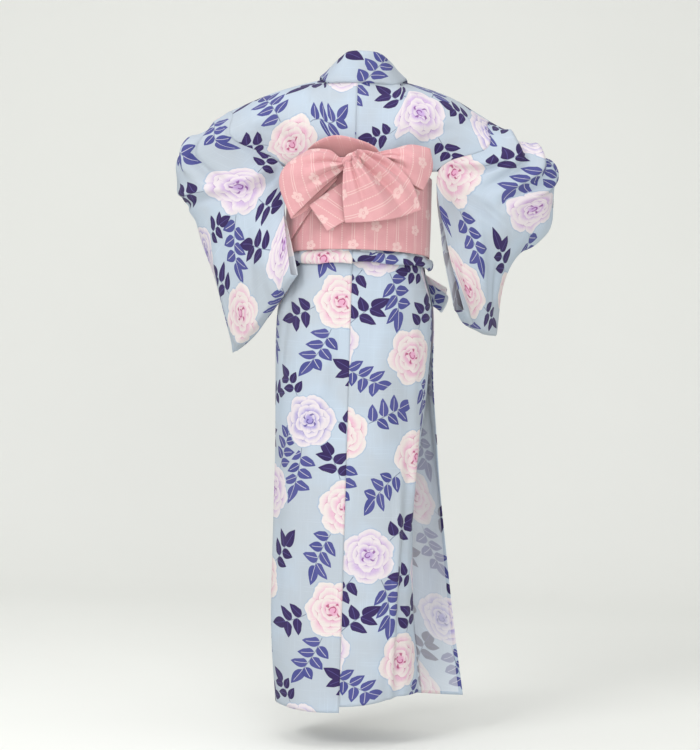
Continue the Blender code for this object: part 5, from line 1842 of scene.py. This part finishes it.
class YUKATA_OT_tuck(Operator):
    """Makes the tuck under the obi, a fold of each side's lengths"""

    bl_idname = "yukata.tuck"
    bl_label = "Tuck"

    def execute(self, context):
        for side in SIDES:
            piece = make_tuck(side, cotton_look(), context.scene.yukata_robe)
            finish_sheet(piece, "tuck_" + side)
        return {"FINISHED"}


class YUKATA_OT_obi(Operator):
    """Makes the obi's turn round the waist"""

    bl_idname = "yukata.obi"
    bl_label = "Obi"

    def execute(self, context):
        piece = make_obi_band(obi_look(), context.scene.yukata_obi)
        finish_sheet(piece, "obi_band")
        return {"FINISHED"}


class YUKATA_OT_bow(Operator):
    """Makes the bow: two wings, the leaf, the end, the arch and the knot"""

    bl_idname = "yukata.bow"
    bl_label = "Bow"

    def execute(self, context):
        for stretch in BOW:
            piece = make_bow_piece(stretch, obi_look(), context.scene.yukata_obi)
            finish_sheet(piece, stretch.name)
        knot = make_knot(obi_look())
        finish(knot, "bow_knot")
        return {"FINISHED"}


class YUKATA_OT_stage(Operator):
    """Makes the pale floor and backdrop, the soft light and the camera"""

    bl_idname = "yukata.stage"
    bl_label = "Stage"

    def execute(self, context):
        stage = context.scene.yukata_stage
        make_backdrop(stage)
        make_light(stage)
        make_camera()
        return {"FINISHED"}


class YUKATA_PT_panel(Panel):
    """The yukata's sizes and colours, and a button for each of its pieces"""

    bl_idname = "YUKATA_PT_panel"
    bl_label = "Yukata"
    bl_space_type = "VIEW_3D"
    bl_region_type = "UI"
    bl_category = "Yukata"

    def draw(self, context):
        for settings in ("yukata_robe", "yukata_obi", "yukata_stage"):
            box = self.layout.box()
            group = getattr(context.scene, settings)
            for name in group.bl_rna.properties.keys():
                if name not in ("rna_type", "name"):
                    box.prop(group, name)
        for operator in OPERATORS:
            self.layout.operator(operator.bl_idname)


OPERATORS = (
    YUKATA_OT_sleeves, YUKATA_OT_upper_lengths, YUKATA_OT_collar, YUKATA_OT_skirt,
    YUKATA_OT_tuck, YUKATA_OT_obi, YUKATA_OT_bow, YUKATA_OT_stage,
)
SETTINGS = {
    "yukata_robe": YukataRobeSettings, "yukata_obi": YukataObiSettings,
    "yukata_stage": YukataStageSettings,
}


def register():
    """Adds the settings, the operators and the panel."""
    for name, group in SETTINGS.items():
        bpy.utils.register_class(group)
        setattr(bpy.types.Scene, name, PointerProperty(type=group))
    for item in (*OPERATORS, YUKATA_PT_panel):
        bpy.utils.register_class(item)


def unregister():
    """Takes them away again."""
    for item in reversed((*OPERATORS, YUKATA_PT_panel)):
        bpy.utils.unregister_class(item)
    for name, group in reversed(SETTINGS.items()):
        delattr(bpy.types.Scene, name)
        bpy.utils.unregister_class(group)


def main():
    """Makes every piece and the stage."""
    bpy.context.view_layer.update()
    register()
    for operator in OPERATORS:
        family, name = operator.bl_idname.split(".")
        getattr(getattr(bpy.ops, family), name)()


if __name__ == "__main__":
    main()
